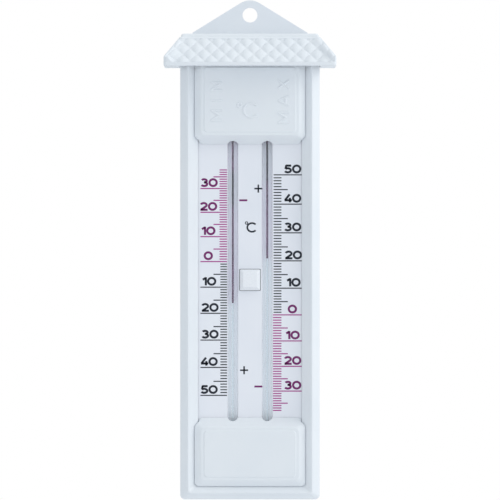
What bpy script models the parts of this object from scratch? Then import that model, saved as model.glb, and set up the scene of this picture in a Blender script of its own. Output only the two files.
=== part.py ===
"""Maximum minimum thermometer for a greenhouse wall, with a rain roof and a reset button.

Frame: metres, +X to the right, +Z up, the scale faces -Y. The wall is the plane Y = 0, and the origin
is the centre of the hanging hole on that plane. A depth is a distance from the wall towards the viewer.
"""

import math

import bmesh
import bpy
from mathutils import Vector

MM = 0.001

# ---- driving dimensions ------------------------------------------------------------------------------

# clearances between separate pieces
GAP = 0.3 * MM
SLIP = 0.04 * MM  # round an index pin and a liquid column inside the bore

# body: the moulded frame that carries everything
BODY_WIDTH = 65.0 * MM
BODY_BOTTOM = 226.3 * MM  # from the hanging hole down to the lower edge
RIM_DEPTH = 16.5 * MM  # wall to the front of the straight sides
RIDGE_DEPTH = 20.0 * MM  # wall to the ridge of the rails
SIDE_BEVEL = 3.7 * MM  # outer bevel of the side rails
END_BEVEL = 3.1 * MM  # outer bevel of the top and bottom rails
RAIL_SLOPE = 4.6 * MM  # inner slope of every rail
LIP = 0.8 * MM  # edge at the foot of the inner slope
HOUSING_WALL = 2.0 * MM
BODY_CORNER = 2.2 * MM

# hanging tab on the back plate
PLATE_THICKNESS = 2.5 * MM
HOLE_DIAMETER = 7.0 * MM
TAB_RISE = 6.9 * MM  # hole centre to the top of the tab
TAB_CROWN = 8.4 * MM  # radius of the rounded top
TAB_WIDTH = 54.0 * MM
TAB_SHOULDER = 8.3 * MM  # hole centre down to the tab's widest line

# roof
ROOF_TOP = 9.5 * MM  # hole centre down to the flat top
ROOF_INSET = 1.1 * MM  # top edge, inside the body's sides
ROOF_OVERHANG = 7.45 * MM  # eaves, outside the body's sides
ROOF_TOP_DEPTH = 18.5 * MM
ROOF_DEPTH = 33.0 * MM
ROOF_DROP = 11.1 * MM  # height of the tiled slope
ROOF_FASCIA = 4.2 * MM
SOFFIT = 1.5 * MM  # the roof's floor, which fits round the body
ROOF_WALL = 2.0 * MM
ROOF_CORNER = 1.2 * MM

# scale plate
SCALE_DEPTH = 14.5 * MM
SCALE_THICKNESS = 1.5 * MM
CHANNEL_WALL = 0.8 * MM

# covers over the bulbs and over the bend
COVER_DEPTH = 19.8 * MM
COVER_WALL = 1.5 * MM
COVER_OVERLAP = 1.65 * MM  # how far a cover laps over the rails' inner slope
COVER_CHAMFER = 3.0 * MM
COVER_CORNER = 1.6 * MM
UPPER_COVER_END = 60.8 * MM  # below the hole, as are the next two
LOWER_COVER_END = 188.2 * MM
UPPER_COVER_BEVEL = 4.2 * MM
LOWER_COVER_BEVEL = 4.9 * MM

# glass
TUBE_DIAMETER = 4.4 * MM
TUBE_PROUD = 1.7 * MM  # front of the tube, before the scale
LIMB_CLEARANCE = 1.05 * MM  # between the reset button and each limb
BORE_DIAMETER = 0.9 * MM
BEND_DROP = 10.7 * MM  # straight glass below the lower cover's edge
BULB_DIAMETER = 7.4 * MM
BULB_WALL = 0.8 * MM
BULB_LENGTH = 29.0 * MM
EXPANSION_DIAMETER = 6.0 * MM
EXPANSION_LENGTH = 16.0 * MM
TUBE_SIDES = 12

# liquid levels and index pins, as depths below the hole
MIN_LEVEL = 134.9 * MM
MAX_LEVEL = 114.1 * MM
MENISCUS = 0.6 * MM
PIN_DIAMETER = 0.56 * MM
PIN_LENGTH = 17.5 * MM
MIN_PIN_FOOT = 90.2 * MM
MAX_PIN_FOOT = 78.0 * MM

# reset button and magnets
BUTTON_WIDTH = 9.5 * MM
BUTTON_HEIGHT = 9.8 * MM
BUTTON_CENTRE = 124.1 * MM  # below the hole
BUTTON_PROUD = 3.0 * MM
BUTTON_BEVEL = 1.5 * MM
BUTTON_CLEARANCE = 0.35 * MM
CARRIER_THICKNESS = 1.5 * MM
MAGNET_WIDTH = 4.8 * MM
MAGNET_THICKNESS = 1.2 * MM
CARRIER_MARGIN = 1.2 * MM  # carrier beyond the magnets on each side
SPRING_OFFSET = 34.0 * MM  # each spring from the button's centre
POST_DIAMETER = 3.0 * MM
SPRING_WIRE = 0.4 * MM
SPRING_DIAMETER = 5.6 * MM
SPRING_TURNS = 3.25

# fasteners
SCREW_DIAMETER = 2.2 * MM
SCREW_LENGTH = 8.0 * MM
SCREW_HEAD_DIAMETER = 4.4 * MM
SCREW_HEAD_DEPTH = 1.3 * MM
SCREW_INSET_X = 5.5 * MM  # from the body's sides
SCREW_INSET_Z = 6.6 * MM  # from the ends of the housing
BOSS_DIAMETER = 5.0 * MM

# foam
PAD_WIDTH = 10.0 * MM
BEND_PAD_HEIGHT = 9.0 * MM

# ---- sizes that follow from them -----------------------------------------------------------------------

HALF_BODY = BODY_WIDTH / 2
HALF_TAB = TAB_WIDTH / 2
HALF_EAVES = HALF_BODY + ROOF_OVERHANG
HALF_ROOF_TOP = HALF_BODY - ROOF_INSET
TUBE_RADIUS = TUBE_DIAMETER / 2
TUBE_X = BUTTON_WIDTH / 2 + LIMB_CLEARANCE + TUBE_RADIUS
BORE_RADIUS = BORE_DIAMETER / 2
PIN_RADIUS = PIN_DIAMETER / 2
COLUMN_RADIUS = BORE_RADIUS - SLIP
COLUMN_HOLLOW = PIN_RADIUS + SLIP
TUBE_DEPTH = SCALE_DEPTH + TUBE_PROUD - TUBE_RADIUS
CHANNEL_RADIUS = TUBE_RADIUS + GAP

HIP_RUN = HALF_EAVES - HALF_ROOF_TOP
HIP_WALL = ROOF_WALL * math.hypot(HIP_RUN, ROOF_DROP) / ROOF_DROP  # the hip's wall, measured sideways
HOUSING_CLEARS = ROOF_DROP * (HALF_BODY + GAP + HIP_WALL - HALF_ROOF_TOP) / HIP_RUN
HOUSING_TOP = ROOF_TOP + max(HOUSING_CLEARS, ROOF_WALL + GAP)
SIDE_RAIL = SIDE_BEVEL + RAIL_SLOPE
END_RAIL = END_BEVEL + RAIL_SLOPE
LIP_DEPTH = SCALE_DEPTH + GAP
SLOPE_FOOT = LIP_DEPTH + LIP
SLOPE_RATE = (RIDGE_DEPTH - SLOPE_FOOT) / RAIL_SLOPE
SLOPE_GAP = GAP * math.hypot(1, SLOPE_RATE)  # the gap on the slope, measured along Y

OPENING_HALF = HALF_BODY - SIDE_RAIL
OPENING_TOP = HOUSING_TOP + END_RAIL
OPENING_BOTTOM = BODY_BOTTOM - END_RAIL

SCREW_X = HALF_BODY - SCREW_INSET_X
SCREW_Z = [-(HOUSING_TOP + SCREW_INSET_Z), -(BODY_BOTTOM - SCREW_INSET_Z)]

SCALE_TOP = UPPER_COVER_END - UPPER_COVER_BEVEL
SCALE_BOTTOM = LOWER_COVER_END + LOWER_COVER_BEVEL + COVER_WALL
NECK = SCALE_TOP - 2 * GAP
BEND_START = LOWER_COVER_END + BEND_DROP

MAGNET_FRONT = TUBE_DEPTH - CHANNEL_RADIUS - CHANNEL_WALL - GAP
CARRIER_FRONT = MAGNET_FRONT - MAGNET_THICKNESS - GAP
CARRIER_BACK = CARRIER_FRONT - CARRIER_THICKNESS
MAGNET_TOP = UPPER_COVER_END
MAGNET_BOTTOM = LOWER_COVER_END
CARRIER_HALF = TUBE_X + MAGNET_WIDTH / 2 + CARRIER_MARGIN
SPRING_Z = [-(BUTTON_CENTRE - SPRING_OFFSET), -(BUTTON_CENTRE + SPRING_OFFSET)]

# ---- meshes --------------------------------------------------------------------------------------------


def material(name, colour, roughness, metallic=0.0):
    """A Principled material, made once and then shared by its name."""
    made = bpy.data.materials.get(name) or bpy.data.materials.new(name)
    made.use_nodes = True
    shader = made.node_tree.nodes["Principled BSDF"]
    shader.inputs["Base Color"].default_value = (*colour, 1.0)
    shader.inputs["Roughness"].default_value = roughness
    shader.inputs["Metallic"].default_value = metallic
    made.diffuse_color = (*colour, 1.0)
    return made


def add_mesh(name, solids, finish=None, at=(0, 0, 0), parent=None, smooth=None):
    """One object from closed solids, each (points, faces) in the part's frame, with its origin at `at`."""
    mesh = bmesh.new()
    for points, faces in solids:
        corners = [mesh.verts.new(Vector(p) - Vector(at)) for p in points]
        for face in faces:
            mesh.faces.new([corners[i] for i in face])
    bmesh.ops.recalc_face_normals(mesh, faces=mesh.faces)
    data = bpy.data.meshes.new(name)
    mesh.to_mesh(data)
    mesh.free()
    if smooth is not None:
        data.shade_smooth()
        data.set_sharp_from_angle(angle=math.radians(smooth))
    made = bpy.data.objects.new(name, data)
    bpy.context.scene.collection.objects.link(made)
    made.location = Vector(at)
    if finish:
        data.materials.append(finish)
    if parent:
        made.parent = parent
        made.matrix_parent_inverse = parent.matrix_basis.inverted()
    return made


def add_guide(name, solids):
    """Solids that only shape another object: they aren't part of the thermometer."""
    guide = add_mesh(name, solids)
    guide.hide_render = True
    guide.display_type = "WIRE"
    return guide


def boolean(target, operation, name, solids):
    """Cuts solids from the target, or joins them to it."""
    step = target.modifiers.new(name, "BOOLEAN")
    step.operation = operation
    step.solver = "EXACT"
    step.object = add_guide(f"{target.name}_{name}", solids)


def loft(loops, ring=False):
    """Skins loops of equal length one after another. A ring closes on its first loop; else both ends are capped."""
    count = len(loops[0])
    points = [p for loop in loops for p in loop]
    faces = []
    for k in range(len(loops) if ring else len(loops) - 1):
        here, there = k * count, (k + 1) % len(loops) * count
        for i in range(count):
            j = (i + 1) % count
            faces.append((here + i, here + j, there + j, there + i))
    if not ring:
        faces.append(tuple(range(count)))
        faces.append(tuple(range(len(points) - count, len(points))))
    return points, faces


def box(x, depth, z):
    """A box from pairs of limits: x, depth from the wall, z."""
    loops = [[(x[i], -d, z[j]) for i, j in ((0, 0), (1, 0), (1, 1), (0, 1))] for d in depth]
    return loft(loops)


def rounded(half_x, low, high, radius, depth, steps=3):
    """A rectangle with round corners in the plane of one depth, as a loop of points."""
    loop = []
    for turn, (x, z) in enumerate(
        ((half_x, low), (half_x, high), (-half_x, high), (-half_x, low))
    ):
        centre_x = x - math.copysign(radius, x)
        centre_z = z + radius if z == low else z - radius
        for k in range(steps + 1):
            angle = math.pi / 2 * (turn - 1 + k / steps)
            loop.append(
                (centre_x + radius * math.cos(angle), -depth, centre_z + radius * math.sin(angle))
            )
    return loop


def turned(profile, centre, axis, sides=16):
    """A solid of revolution. The profile lists (radius, distance along the axis); radius 0 is a pole."""
    axis = Vector(axis).normalized()
    across = axis.orthogonal().normalized()
    up = axis.cross(across)
    points, rows = [], []
    for radius, along in profile:
        middle = Vector(centre) + axis * along
        spread = sides if radius > 0 else 1
        rows.append([len(points) + i for i in range(spread)])
        for i in range(spread):
            angle = 2 * math.pi * i / sides
            points.append(middle + radius * (math.cos(angle) * across + math.sin(angle) * up))
    faces = []
    for a, b in zip(rows, rows[1:]):
        for i in range(sides):
            j = (i + 1) % sides
            corners = [a[i % len(a)], a[j % len(a)], b[j % len(b)], b[i % len(b)]]
            faces.append(tuple(dict.fromkeys(corners)))
    for end in (rows[0], rows[-1]):
        if len(end) > 1:
            faces.append(tuple(end))
    return points, faces


def cylinder(radius, centre, axis, length, sides=16):
    """A plain round bar from its centre point along the axis."""
    return turned([(radius, 0), (radius, length)], centre, axis, sides)


def rings_along(path, radii, sides=TUBE_SIDES, phase=0.5):
    """Circles of the given radii round a path of (x, z) points that lies in the tube's plane."""
    rings = []
    for k, (x, z) in enumerate(path):
        before, after = path[max(k - 1, 0)], path[min(k + 1, len(path) - 1)]
        run = Vector((after[0] - before[0], 0, after[1] - before[1])).normalized()
        side = run.cross(Vector((0, 1, 0)))
        rings.append(
            [
                Vector((x, -TUBE_DEPTH, z))
                + radii[k] * math.cos(2 * math.pi * (i + phase) / sides) * side
                + radii[k] * math.sin(2 * math.pi * (i + phase) / sides) * Vector((0, 1, 0))
                for i in range(sides)
            ]
        )
    return rings


def bend_path(left_top, right_top, steps=10):
    """The tube's centre line from a height on the left limb, round the bend, to a height on the right."""
    bend = [
        (-TUBE_X * math.cos(math.pi * k / steps), -BEND_START - TUBE_X * math.sin(math.pi * k / steps))
        for k in range(steps + 1)
    ]
    return [(-TUBE_X, left_top), *bend, (TUBE_X, right_top)]


# ---- case ----------------------------------------------------------------------------------------------


def tab_outline():
    """Half of the back plate's outline above its shoulders: the tab's side and crown, for x >= 0."""
    corner = Vector((HALF_TAB, -TAB_SHOULDER))
    centre = Vector((0, TAB_RISE - TAB_CROWN))
    away = corner - centre
    reach = math.acos(TAB_CROWN / away.length)
    start = math.atan2(away.y, away.x) + reach
    crown = []
    steps = 6
    for k in range(steps + 1):
        angle = start + (math.pi / 2 - start) * k / steps
        crown.append((TAB_CROWN * math.cos(angle), centre.y + TAB_CROWN * math.sin(angle)))
    return [(corner.x, corner.y), *crown]


def corner(half, end, way, steps=3):
    """A plate's right-hand corner as an arc: way is -1 at the lower end and 1 at the upper end."""
    turn = [math.pi / 2 * (k / steps - (way < 0)) for k in range(steps + 1)]
    centre_x, centre_z = half - BODY_CORNER, end - way * BODY_CORNER
    return [
        (centre_x + BODY_CORNER * math.cos(a), centre_z + BODY_CORNER * math.sin(a)) for a in turn
    ]


def make_back_plate(parent):
    """Flat plate inside the frame, whose top runs out as the hanging tab."""
    half = HALF_BODY - HOUSING_WALL - GAP
    top = -(HOUSING_TOP + HOUSING_WALL + GAP)
    bottom = -(BODY_BOTTOM - HOUSING_WALL - GAP)
    corners = corner(half, bottom, -1) + corner(half, top, 1)
    side = [*corners, (HALF_TAB, top), *tab_outline()]
    outline = side + [(-x, z) for x, z in reversed(side[:-1])]
    plate = add_mesh(
        "back_plate",
        [loft([[(x, -d, z) for x, z in outline] for d in (0, PLATE_THICKNESS)])],
        material("rear_abs", (0.80, 0.84, 0.87), 0.42),
        parent=parent,
        smooth=30,
    )
    inner = PLATE_THICKNESS / 2
    rib = [OPENING_HALF - 1.4 * MM, OPENING_HALF - 0.4 * MM]
    ribs = [
        box(
            [min(s * rib[0], s * rib[1]), max(s * rib[0], s * rib[1])],
            [inner, SCALE_DEPTH - SCALE_THICKNESS - GAP],
            [-SCALE_BOTTOM, -SCALE_TOP],
        )
        for s in (-1, 1)
    ]
    posts = [
        cylinder(POST_DIAMETER / 2, (0, -inner, z), (0, -1, 0), CARRIER_FRONT - inner + GAP)
        for z in SPRING_Z
    ]
    boolean(plate, "UNION", "ribs", ribs + posts)
    hole = cylinder(HOLE_DIAMETER / 2, (0, GAP, 0), (0, -1, 0), PLATE_THICKNESS + 2 * GAP, 32)
    sinks = [
        turned(
            [
                (SCREW_HEAD_DIAMETER / 2 + GAP, -GAP),
                (SCREW_HEAD_DIAMETER / 2 + GAP, 2 * GAP),
                (SCREW_DIAMETER / 2 + GAP, SCREW_HEAD_DEPTH + GAP),
                (SCREW_DIAMETER / 2 + GAP, PLATE_THICKNESS + GAP),
            ],
            (s * SCREW_X, 0, z),
            (0, -1, 0),
        )
        for s in (-1, 1)
        for z in SCREW_Z
    ]
    boolean(plate, "DIFFERENCE", "holes", [hole, *sinks])
    return plate


def make_housing(parent):
    """Hollow frame of one profile: straight rim, outer bevel, ridge, inner slope, and the same again inside."""
    wall = HOUSING_WALL
    profile = [
        (0, 0, 0),
        (0, 0, RIM_DEPTH),
        (SIDE_BEVEL, END_BEVEL, RIDGE_DEPTH),
        (SIDE_RAIL, END_RAIL, SLOPE_FOOT),
        (SIDE_RAIL, END_RAIL, LIP_DEPTH),
        (SIDE_BEVEL, END_BEVEL, RIDGE_DEPTH - wall),
        (wall, wall, RIM_DEPTH - wall / 2),
        (wall, wall, 0),
    ]
    loops = [
        rounded(
            HALF_BODY - side,
            -(BODY_BOTTOM - end),
            -(HOUSING_TOP + end),
            max(BODY_CORNER - side / 2, 0.4 * MM),
            depth,
        )
        for side, end, depth in profile
    ]
    housing = add_mesh(
        "housing",
        [loft(loops, ring=True)],
        material("white_abs", (0.86, 0.89, 0.91), 0.38),
        parent=parent,
        smooth=30,
    )
    boss_end = SLOPE_FOOT - LIP / 8  # inside the shell at the boss's inner edge, where the slope is lowest
    bosses = [
        cylinder(
            BOSS_DIAMETER / 2,
            (s * SCREW_X, -(PLATE_THICKNESS + GAP), z),
            (0, -1, 0),
            boss_end - PLATE_THICKNESS - GAP,
        )
        for s in (-1, 1)
        for z in SCREW_Z
    ]
    boolean(housing, "UNION", "bosses", bosses)
    neck = box(
        [-HALF_TAB - GAP, HALF_TAB + GAP],
        [-GAP, PLATE_THICKNESS + GAP],
        [-(HOUSING_TOP + wall + GAP), -(HOUSING_TOP - GAP)],
    )
    screw_holes = [
        cylinder(
            SCREW_DIAMETER / 2 + SLIP,
            (s * SCREW_X, -PLATE_THICKNESS, z),
            (0, -1, 0),
            SCREW_LENGTH - PLATE_THICKNESS + 2 * GAP,
        )
        for s in (-1, 1)
        for z in SCREW_Z
    ]
    boolean(housing, "DIFFERENCE", "cuts", [neck, *screw_holes])
    return housing


def roof_loop(drop, half, depth, radius=ROOF_CORNER, back=0.0, steps=2):
    """The roof's outline seen from above at one height: round corners in front, square ones at the wall."""
    loop = [(half, -back, -ROOF_TOP - drop)]
    for sign in (1, -1):
        for k in range(steps + 1):
            angle = math.pi / 2 * (k / steps if sign > 0 else 1 - k / steps)
            loop.append(
                (
                    sign * (half - radius + radius * math.cos(angle)),
                    -(depth - radius + radius * math.sin(angle)),
                    -ROOF_TOP - drop,
                )
            )
    loop.append((-half, -back, -ROOF_TOP - drop))
    return loop


def make_roof(parent):
    """Hipped hood: flat top, sloping front and hips, upright fascia, a soffit below, open at the wall."""
    bottom = ROOF_DROP + ROOF_FASCIA
    front_run = ROOF_DEPTH - ROOF_TOP_DEPTH
    front_wall = ROOF_WALL * math.hypot(front_run, ROOF_DROP) / ROOF_DROP

    def inside(drop):
        """Half width and depth of the hollow at a height on the slope."""
        share = drop / ROOF_DROP
        return (
            HALF_ROOF_TOP + HIP_RUN * share - HIP_WALL,
            ROOF_TOP_DEPTH + front_run * share - front_wall,
        )

    eaves_half = HALF_EAVES - ROOF_WALL
    hip_foot = ROOF_DROP * (eaves_half + HIP_WALL - HALF_ROOF_TOP) / HIP_RUN
    front_foot = ROOF_DROP * (ROOF_DEPTH - ROOF_WALL + front_wall - ROOF_TOP_DEPTH) / front_run
    foot = min(hip_foot, front_foot)
    roof = add_mesh(
        "roof",
        [
            loft(
                [
                    roof_loop(0, HALF_ROOF_TOP, ROOF_TOP_DEPTH),
                    roof_loop(ROOF_DROP, HALF_EAVES, ROOF_DEPTH),
                    roof_loop(bottom, HALF_EAVES, ROOF_DEPTH),
                ]
            )
        ],
        material("white_abs", (0.86, 0.89, 0.91), 0.38),
        parent=parent,
        smooth=30,
    )
    past = -2 * MM
    hollow = loft(
        [
            roof_loop(ROOF_WALL, *inside(ROOF_WALL), back=past),
            roof_loop(foot, *inside(foot), back=past),
            roof_loop(bottom - SOFFIT, eaves_half, ROOF_DEPTH - ROOF_WALL, back=past),
        ]
    )
    opening = box(
        [-HALF_BODY - GAP, HALF_BODY + GAP],
        [-1 * MM, RIDGE_DEPTH + GAP],
        [-ROOF_TOP - bottom - 1 * MM, -ROOF_TOP - bottom + SOFFIT + 1 * MM],
    )
    tab_slot = box(
        [-HALF_TAB - GAP, HALF_TAB + GAP],
        [-1 * MM, PLATE_THICKNESS + GAP],
        [-ROOF_TOP - ROOF_WALL - 1 * MM, -ROOF_TOP + 1 * MM],
    )
    boolean(roof, "DIFFERENCE", "hollow", [hollow])
    boolean(roof, "DIFFERENCE", "opening", [opening])
    boolean(roof, "DIFFERENCE", "tab_slot", [tab_slot])
    rib_foot = HOUSING_TOP - GAP
    if rib_foot > ROOF_TOP + ROOF_WALL:
        ribs = [
            box(
                [s * HALF_BODY / 2 - 1 * MM, s * HALF_BODY / 2 + 1 * MM],
                [PLATE_THICKNESS + 2 * GAP, ROOF_TOP_DEPTH - front_wall],
                [-rib_foot, -(ROOF_TOP + ROOF_WALL / 2)],
            )
            for s in (-1, 1)
        ]
        boolean(roof, "UNION", "ribs", ribs)
    return roof


def slope_depth(out):
    """Depth of the rails' inner slope at a distance outside its foot."""
    return SLOPE_FOOT + SLOPE_RATE * out


def make_cover(name, rail_end, scale_end, bevel, parent):
    """Raised panel that plugs into the frame at one end and runs down to the scale at the other.

    rail_end and scale_end are depths below the hole of the frame's opening and of the cover's visible edge.
    """
    way = 1 if scale_end > rail_end else -1  # +1 for the upper cover, whose scale end is its lower one
    height = COVER_DEPTH - LIP_DEPTH
    plug = OPENING_HALF - GAP

    def layer(depth, side, rail):
        """One outline: its side and its end on the rail are given, its scale end follows the bevel."""
        edge = scale_end - way * bevel * (depth - LIP_DEPTH) / height
        ends = sorted((-(rail_end + way * rail), -edge))
        return rounded(side, ends[0], ends[1], COVER_CORNER, depth)

    shoulder = slope_depth(-GAP) + SLOPE_GAP
    lap = slope_depth(COVER_OVERLAP) + SLOPE_GAP
    cover = add_mesh(
        name,
        [
            loft(
                [
                    layer(LIP_DEPTH, plug, GAP),
                    layer(shoulder, plug, GAP),
                    layer(lap, OPENING_HALF + COVER_OVERLAP, -COVER_OVERLAP),
                    layer(
                        COVER_DEPTH,
                        OPENING_HALF + COVER_OVERLAP - COVER_CHAMFER,
                        COVER_CHAMFER - COVER_OVERLAP,
                    ),
                ]
            )
        ],
        material("white_abs", (0.86, 0.89, 0.91), 0.38),
        parent=parent,
        smooth=30,
    )
    slant = COVER_WALL * math.hypot(height, bevel) / height  # the bevelled wall, measured along Z
    roof_depth = COVER_DEPTH - COVER_WALL
    inner = plug - COVER_WALL
    hollow = []
    for depth in (SCALE_DEPTH - 1 * MM, roof_depth):
        edge = scale_end - way * (bevel * (depth - LIP_DEPTH) / height + slant)
        ends = sorted((-(rail_end + way * (GAP + COVER_WALL)), -edge))
        hollow.append(rounded(inner, ends[0], ends[1], COVER_CORNER / 2, depth))
    clear = TUBE_RADIUS + GAP
    notches = [
        box(
            [s * TUBE_X - clear, s * TUBE_X + clear],
            [SCALE_DEPTH - 1 * MM, SCALE_DEPTH + TUBE_PROUD + GAP],
            sorted((-(scale_end + way * 1 * MM), -(scale_end - way * (bevel + slant)))),
        )
        for s in (-1, 1)
    ]
    boolean(cover, "DIFFERENCE", "hollow", [loft(hollow)])
    boolean(cover, "DIFFERENCE", "notches", notches)
    return cover


def make_scale_plate(parent):
    """Plate with one channel behind each limb of the tube, and a square window for the button."""
    half = OPENING_HALF + COVER_OVERLAP
    back = SCALE_DEPTH - SCALE_THICKNESS
    outer = CHANNEL_RADIUS + CHANNEL_WALL
    steps = 6

    def arc(radius, x, depth):
        """Half a circle behind the limb at x, from its right side to its left, ending at a depth."""
        turn = [
            (
                x + radius * math.cos(math.pi * k / steps),
                TUBE_DEPTH - radius * math.sin(math.pi * k / steps),
            )
            for k in range(steps + 1)
        ]
        return [(x + radius, depth), *turn, (x - radius, depth)]

    rear_start = math.asin(min(1.0, (TUBE_DEPTH - back) / outer))
    rear = []
    for x in (TUBE_X, -TUBE_X):
        rear += [
            (
                x + outer * math.cos(rear_start + (math.pi - 2 * rear_start) * k / steps),
                TUBE_DEPTH - outer * math.sin(rear_start + (math.pi - 2 * rear_start) * k / steps),
            )
            for k in range(steps + 1)
        ]
    front = []
    for x in (-TUBE_X, TUBE_X):
        front += [
            (-px + 2 * x, depth) for px, depth in arc(CHANNEL_RADIUS, x, SCALE_DEPTH)
        ]
    outline = [(half, SCALE_DEPTH), (half, back), *rear, (-half, back), (-half, SCALE_DEPTH), *front]
    plate = add_mesh(
        "scale_plate",
        [loft([[(x, -d, z) for x, d in outline] for z in (-SCALE_BOTTOM, -SCALE_TOP)])],
        material("printed_scale", (0.90, 0.91, 0.94), 0.45),
        parent=parent,
    )
    window = box(
        [-BUTTON_WIDTH / 2 - BUTTON_CLEARANCE, BUTTON_WIDTH / 2 + BUTTON_CLEARANCE],
        [TUBE_DEPTH - outer - GAP, SCALE_DEPTH + GAP],
        [
            -BUTTON_CENTRE - BUTTON_HEIGHT / 2 - BUTTON_CLEARANCE,
            -BUTTON_CENTRE + BUTTON_HEIGHT / 2 + BUTTON_CLEARANCE,
        ],
    )
    boolean(plate, "DIFFERENCE", "window", [window])
    return plate


# ---- glass and liquids ---------------------------------------------------------------------------------


def glass_stations():
    """(x, z, outer radius, inner radius) from the top of the measuring bulb to the open tip on the right."""
    bulb, wide = BULB_DIAMETER / 2, EXPANSION_DIAMETER / 2
    neck = 3 * MM
    inner_bulb, inner_wide = bulb - BULB_WALL, wide - BULB_WALL
    left_top = -(NECK - BULB_LENGTH)
    right_top = -(NECK - EXPANSION_LENGTH)
    dome = [(0.0, 0.45), (0.35, 0.8), (1.0, 1.0)]
    left = [
        (-TUBE_X, left_top - bulb * down, bulb * share, inner_bulb * share) for down, share in dome
    ]
    left += [
        (-TUBE_X, -NECK + neck, bulb, inner_bulb),
        (-TUBE_X, -NECK, TUBE_RADIUS, BORE_RADIUS),
    ]
    middle = [(x, z, TUBE_RADIUS, BORE_RADIUS) for x, z in bend_path(0, 0)[1:-1]]
    right = [
        (TUBE_X, -NECK, TUBE_RADIUS, BORE_RADIUS),
        (TUBE_X, -NECK + neck, wide, inner_wide),
    ]
    right += [
        (TUBE_X, right_top - wide * down, wide * share, inner_wide * share)
        for down, share in reversed(dome)
    ]
    right += [(TUBE_X, right_top + 2 * MM, 0.3 * wide, 0.12 * wide)]
    return left + middle + right


def make_glass(parent):
    """One blown piece: measuring bulb, left limb, bend, right limb and expansion bulb with its tip."""
    stations = glass_stations()
    path = [(x, z) for x, z, _, _ in stations]
    outer = rings_along(path, [o for _, _, o, _ in stations])
    inner = rings_along(path, [i for _, _, _, i in stations])
    for ring in inner[:1]:
        for point in ring:
            point.z -= BULB_WALL
    return add_mesh(
        "glass_tube",
        [loft(outer + inner[::-1])],
        material("soda_glass", (0.80, 0.90, 0.93), 0.05),
        parent=parent,
        smooth=40,
    )


def make_bulb_spirit(parent):
    """Spirit that fills the measuring bulb down to its neck."""
    radius = BULB_DIAMETER / 2 - BULB_WALL - GAP / 2
    top = -(NECK - BULB_LENGTH) - BULB_WALL
    low = -NECK + GAP
    profile = [
        (0, 0),
        (0.42 * radius, -GAP),
        (0.76 * radius, -0.42 * BULB_DIAMETER / 2),
        (radius, -1.1 * BULB_DIAMETER / 2),
        (radius, low + 3.2 * MM - top),
        (0.28 * radius, low + 0.6 * MM - top),
        (0, low + 0.6 * MM - top),
    ]
    start = (-TUBE_X, -TUBE_DEPTH, top - GAP)
    return add_mesh(
        "bulb_spirit",
        [turned([(r, -t) for r, t in profile], start, (0, 0, -1), TUBE_SIDES)],
        material("tinted_spirit", (0.34, 0.28, 0.42), 0.2),
        parent=parent,
        smooth=40,
    )


def sleeve(x, low, high):
    """A thin tube of liquid in a limb, which leaves room for the index pin."""
    path = [(x, low), (x, high)]
    outer = rings_along(path, [COLUMN_RADIUS] * 2)
    inner = rings_along(path, [COLUMN_HOLLOW] * 2)
    return loft([*outer, *inner[::-1]], ring=True)


def make_liquids(parent, min_body, max_body):
    """Tinted spirit above each meniscus, clear liquid below, and the two menisci that move with it."""
    tinted = material("tinted_spirit", (0.34, 0.28, 0.42), 0.2)
    clear = material("clear_liquid", (0.78, 0.88, 0.90), 0.1)
    top = -NECK - SLIP
    levels = ((-TUBE_X, MIN_LEVEL, "left", "min", min_body), (TUBE_X, MAX_LEVEL, "right", "max", max_body))
    for x, level, side, reads, body in levels:
        add_mesh(f"{side}_column", [sleeve(x, -level + SLIP, top)], tinted, parent=parent, smooth=40)
        add_mesh(
            f"{reads}_meniscus",
            [sleeve(x, -level - MENISCUS, -level)],
            clear,
            at=(x, -TUBE_DEPTH, -level),
            parent=body,
            smooth=40,
        )
    path = bend_path(-MIN_LEVEL - MENISCUS - SLIP, -MAX_LEVEL - MENISCUS - SLIP)
    add_mesh(
        "bend_liquid",
        [loft(rings_along(path, [COLUMN_RADIUS] * len(path)))],
        clear,
        parent=parent,
        smooth=40,
    )


def make_index(name, x, foot, parent):
    """Steel pin with slightly narrower ends, standing in the bore."""
    taper = 0.5 * MM
    path = [(x, -foot + t) for t in (0, taper, PIN_LENGTH - taper, PIN_LENGTH)]
    radii = [0.7 * PIN_RADIUS, PIN_RADIUS, PIN_RADIUS, 0.7 * PIN_RADIUS]
    return add_mesh(
        name,
        [loft(rings_along(path, radii))],
        material("coated_steel", (0.05, 0.06, 0.16), 0.4, 0.6),
        at=(x, -TUBE_DEPTH, -foot),
        parent=parent,
        smooth=40,
    )


# ---- reset mechanism -----------------------------------------------------------------------------------


def make_button(parent):
    """Square cap with bevelled edges on a stem that reaches back to the carrier."""
    front = SCALE_DEPTH + BUTTON_PROUD
    sizes = [
        (CARRIER_FRONT + GAP, 0),
        (front - BUTTON_BEVEL * 0.6, 0),
        (front, BUTTON_BEVEL),
    ]
    loops = [
        rounded(
            BUTTON_WIDTH / 2 - inset,
            -BUTTON_CENTRE - BUTTON_HEIGHT / 2 + inset,
            -BUTTON_CENTRE + BUTTON_HEIGHT / 2 - inset,
            0.5 * MM,
            depth,
            steps=2,
        )
        for depth, inset in sizes
    ]
    return add_mesh(
        "reset_button",
        [loft(loops)],
        material("button_abs", (0.84, 0.87, 0.91), 0.36),
        at=(0, -front, -BUTTON_CENTRE),
        parent=parent,
        smooth=30,
    )


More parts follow.
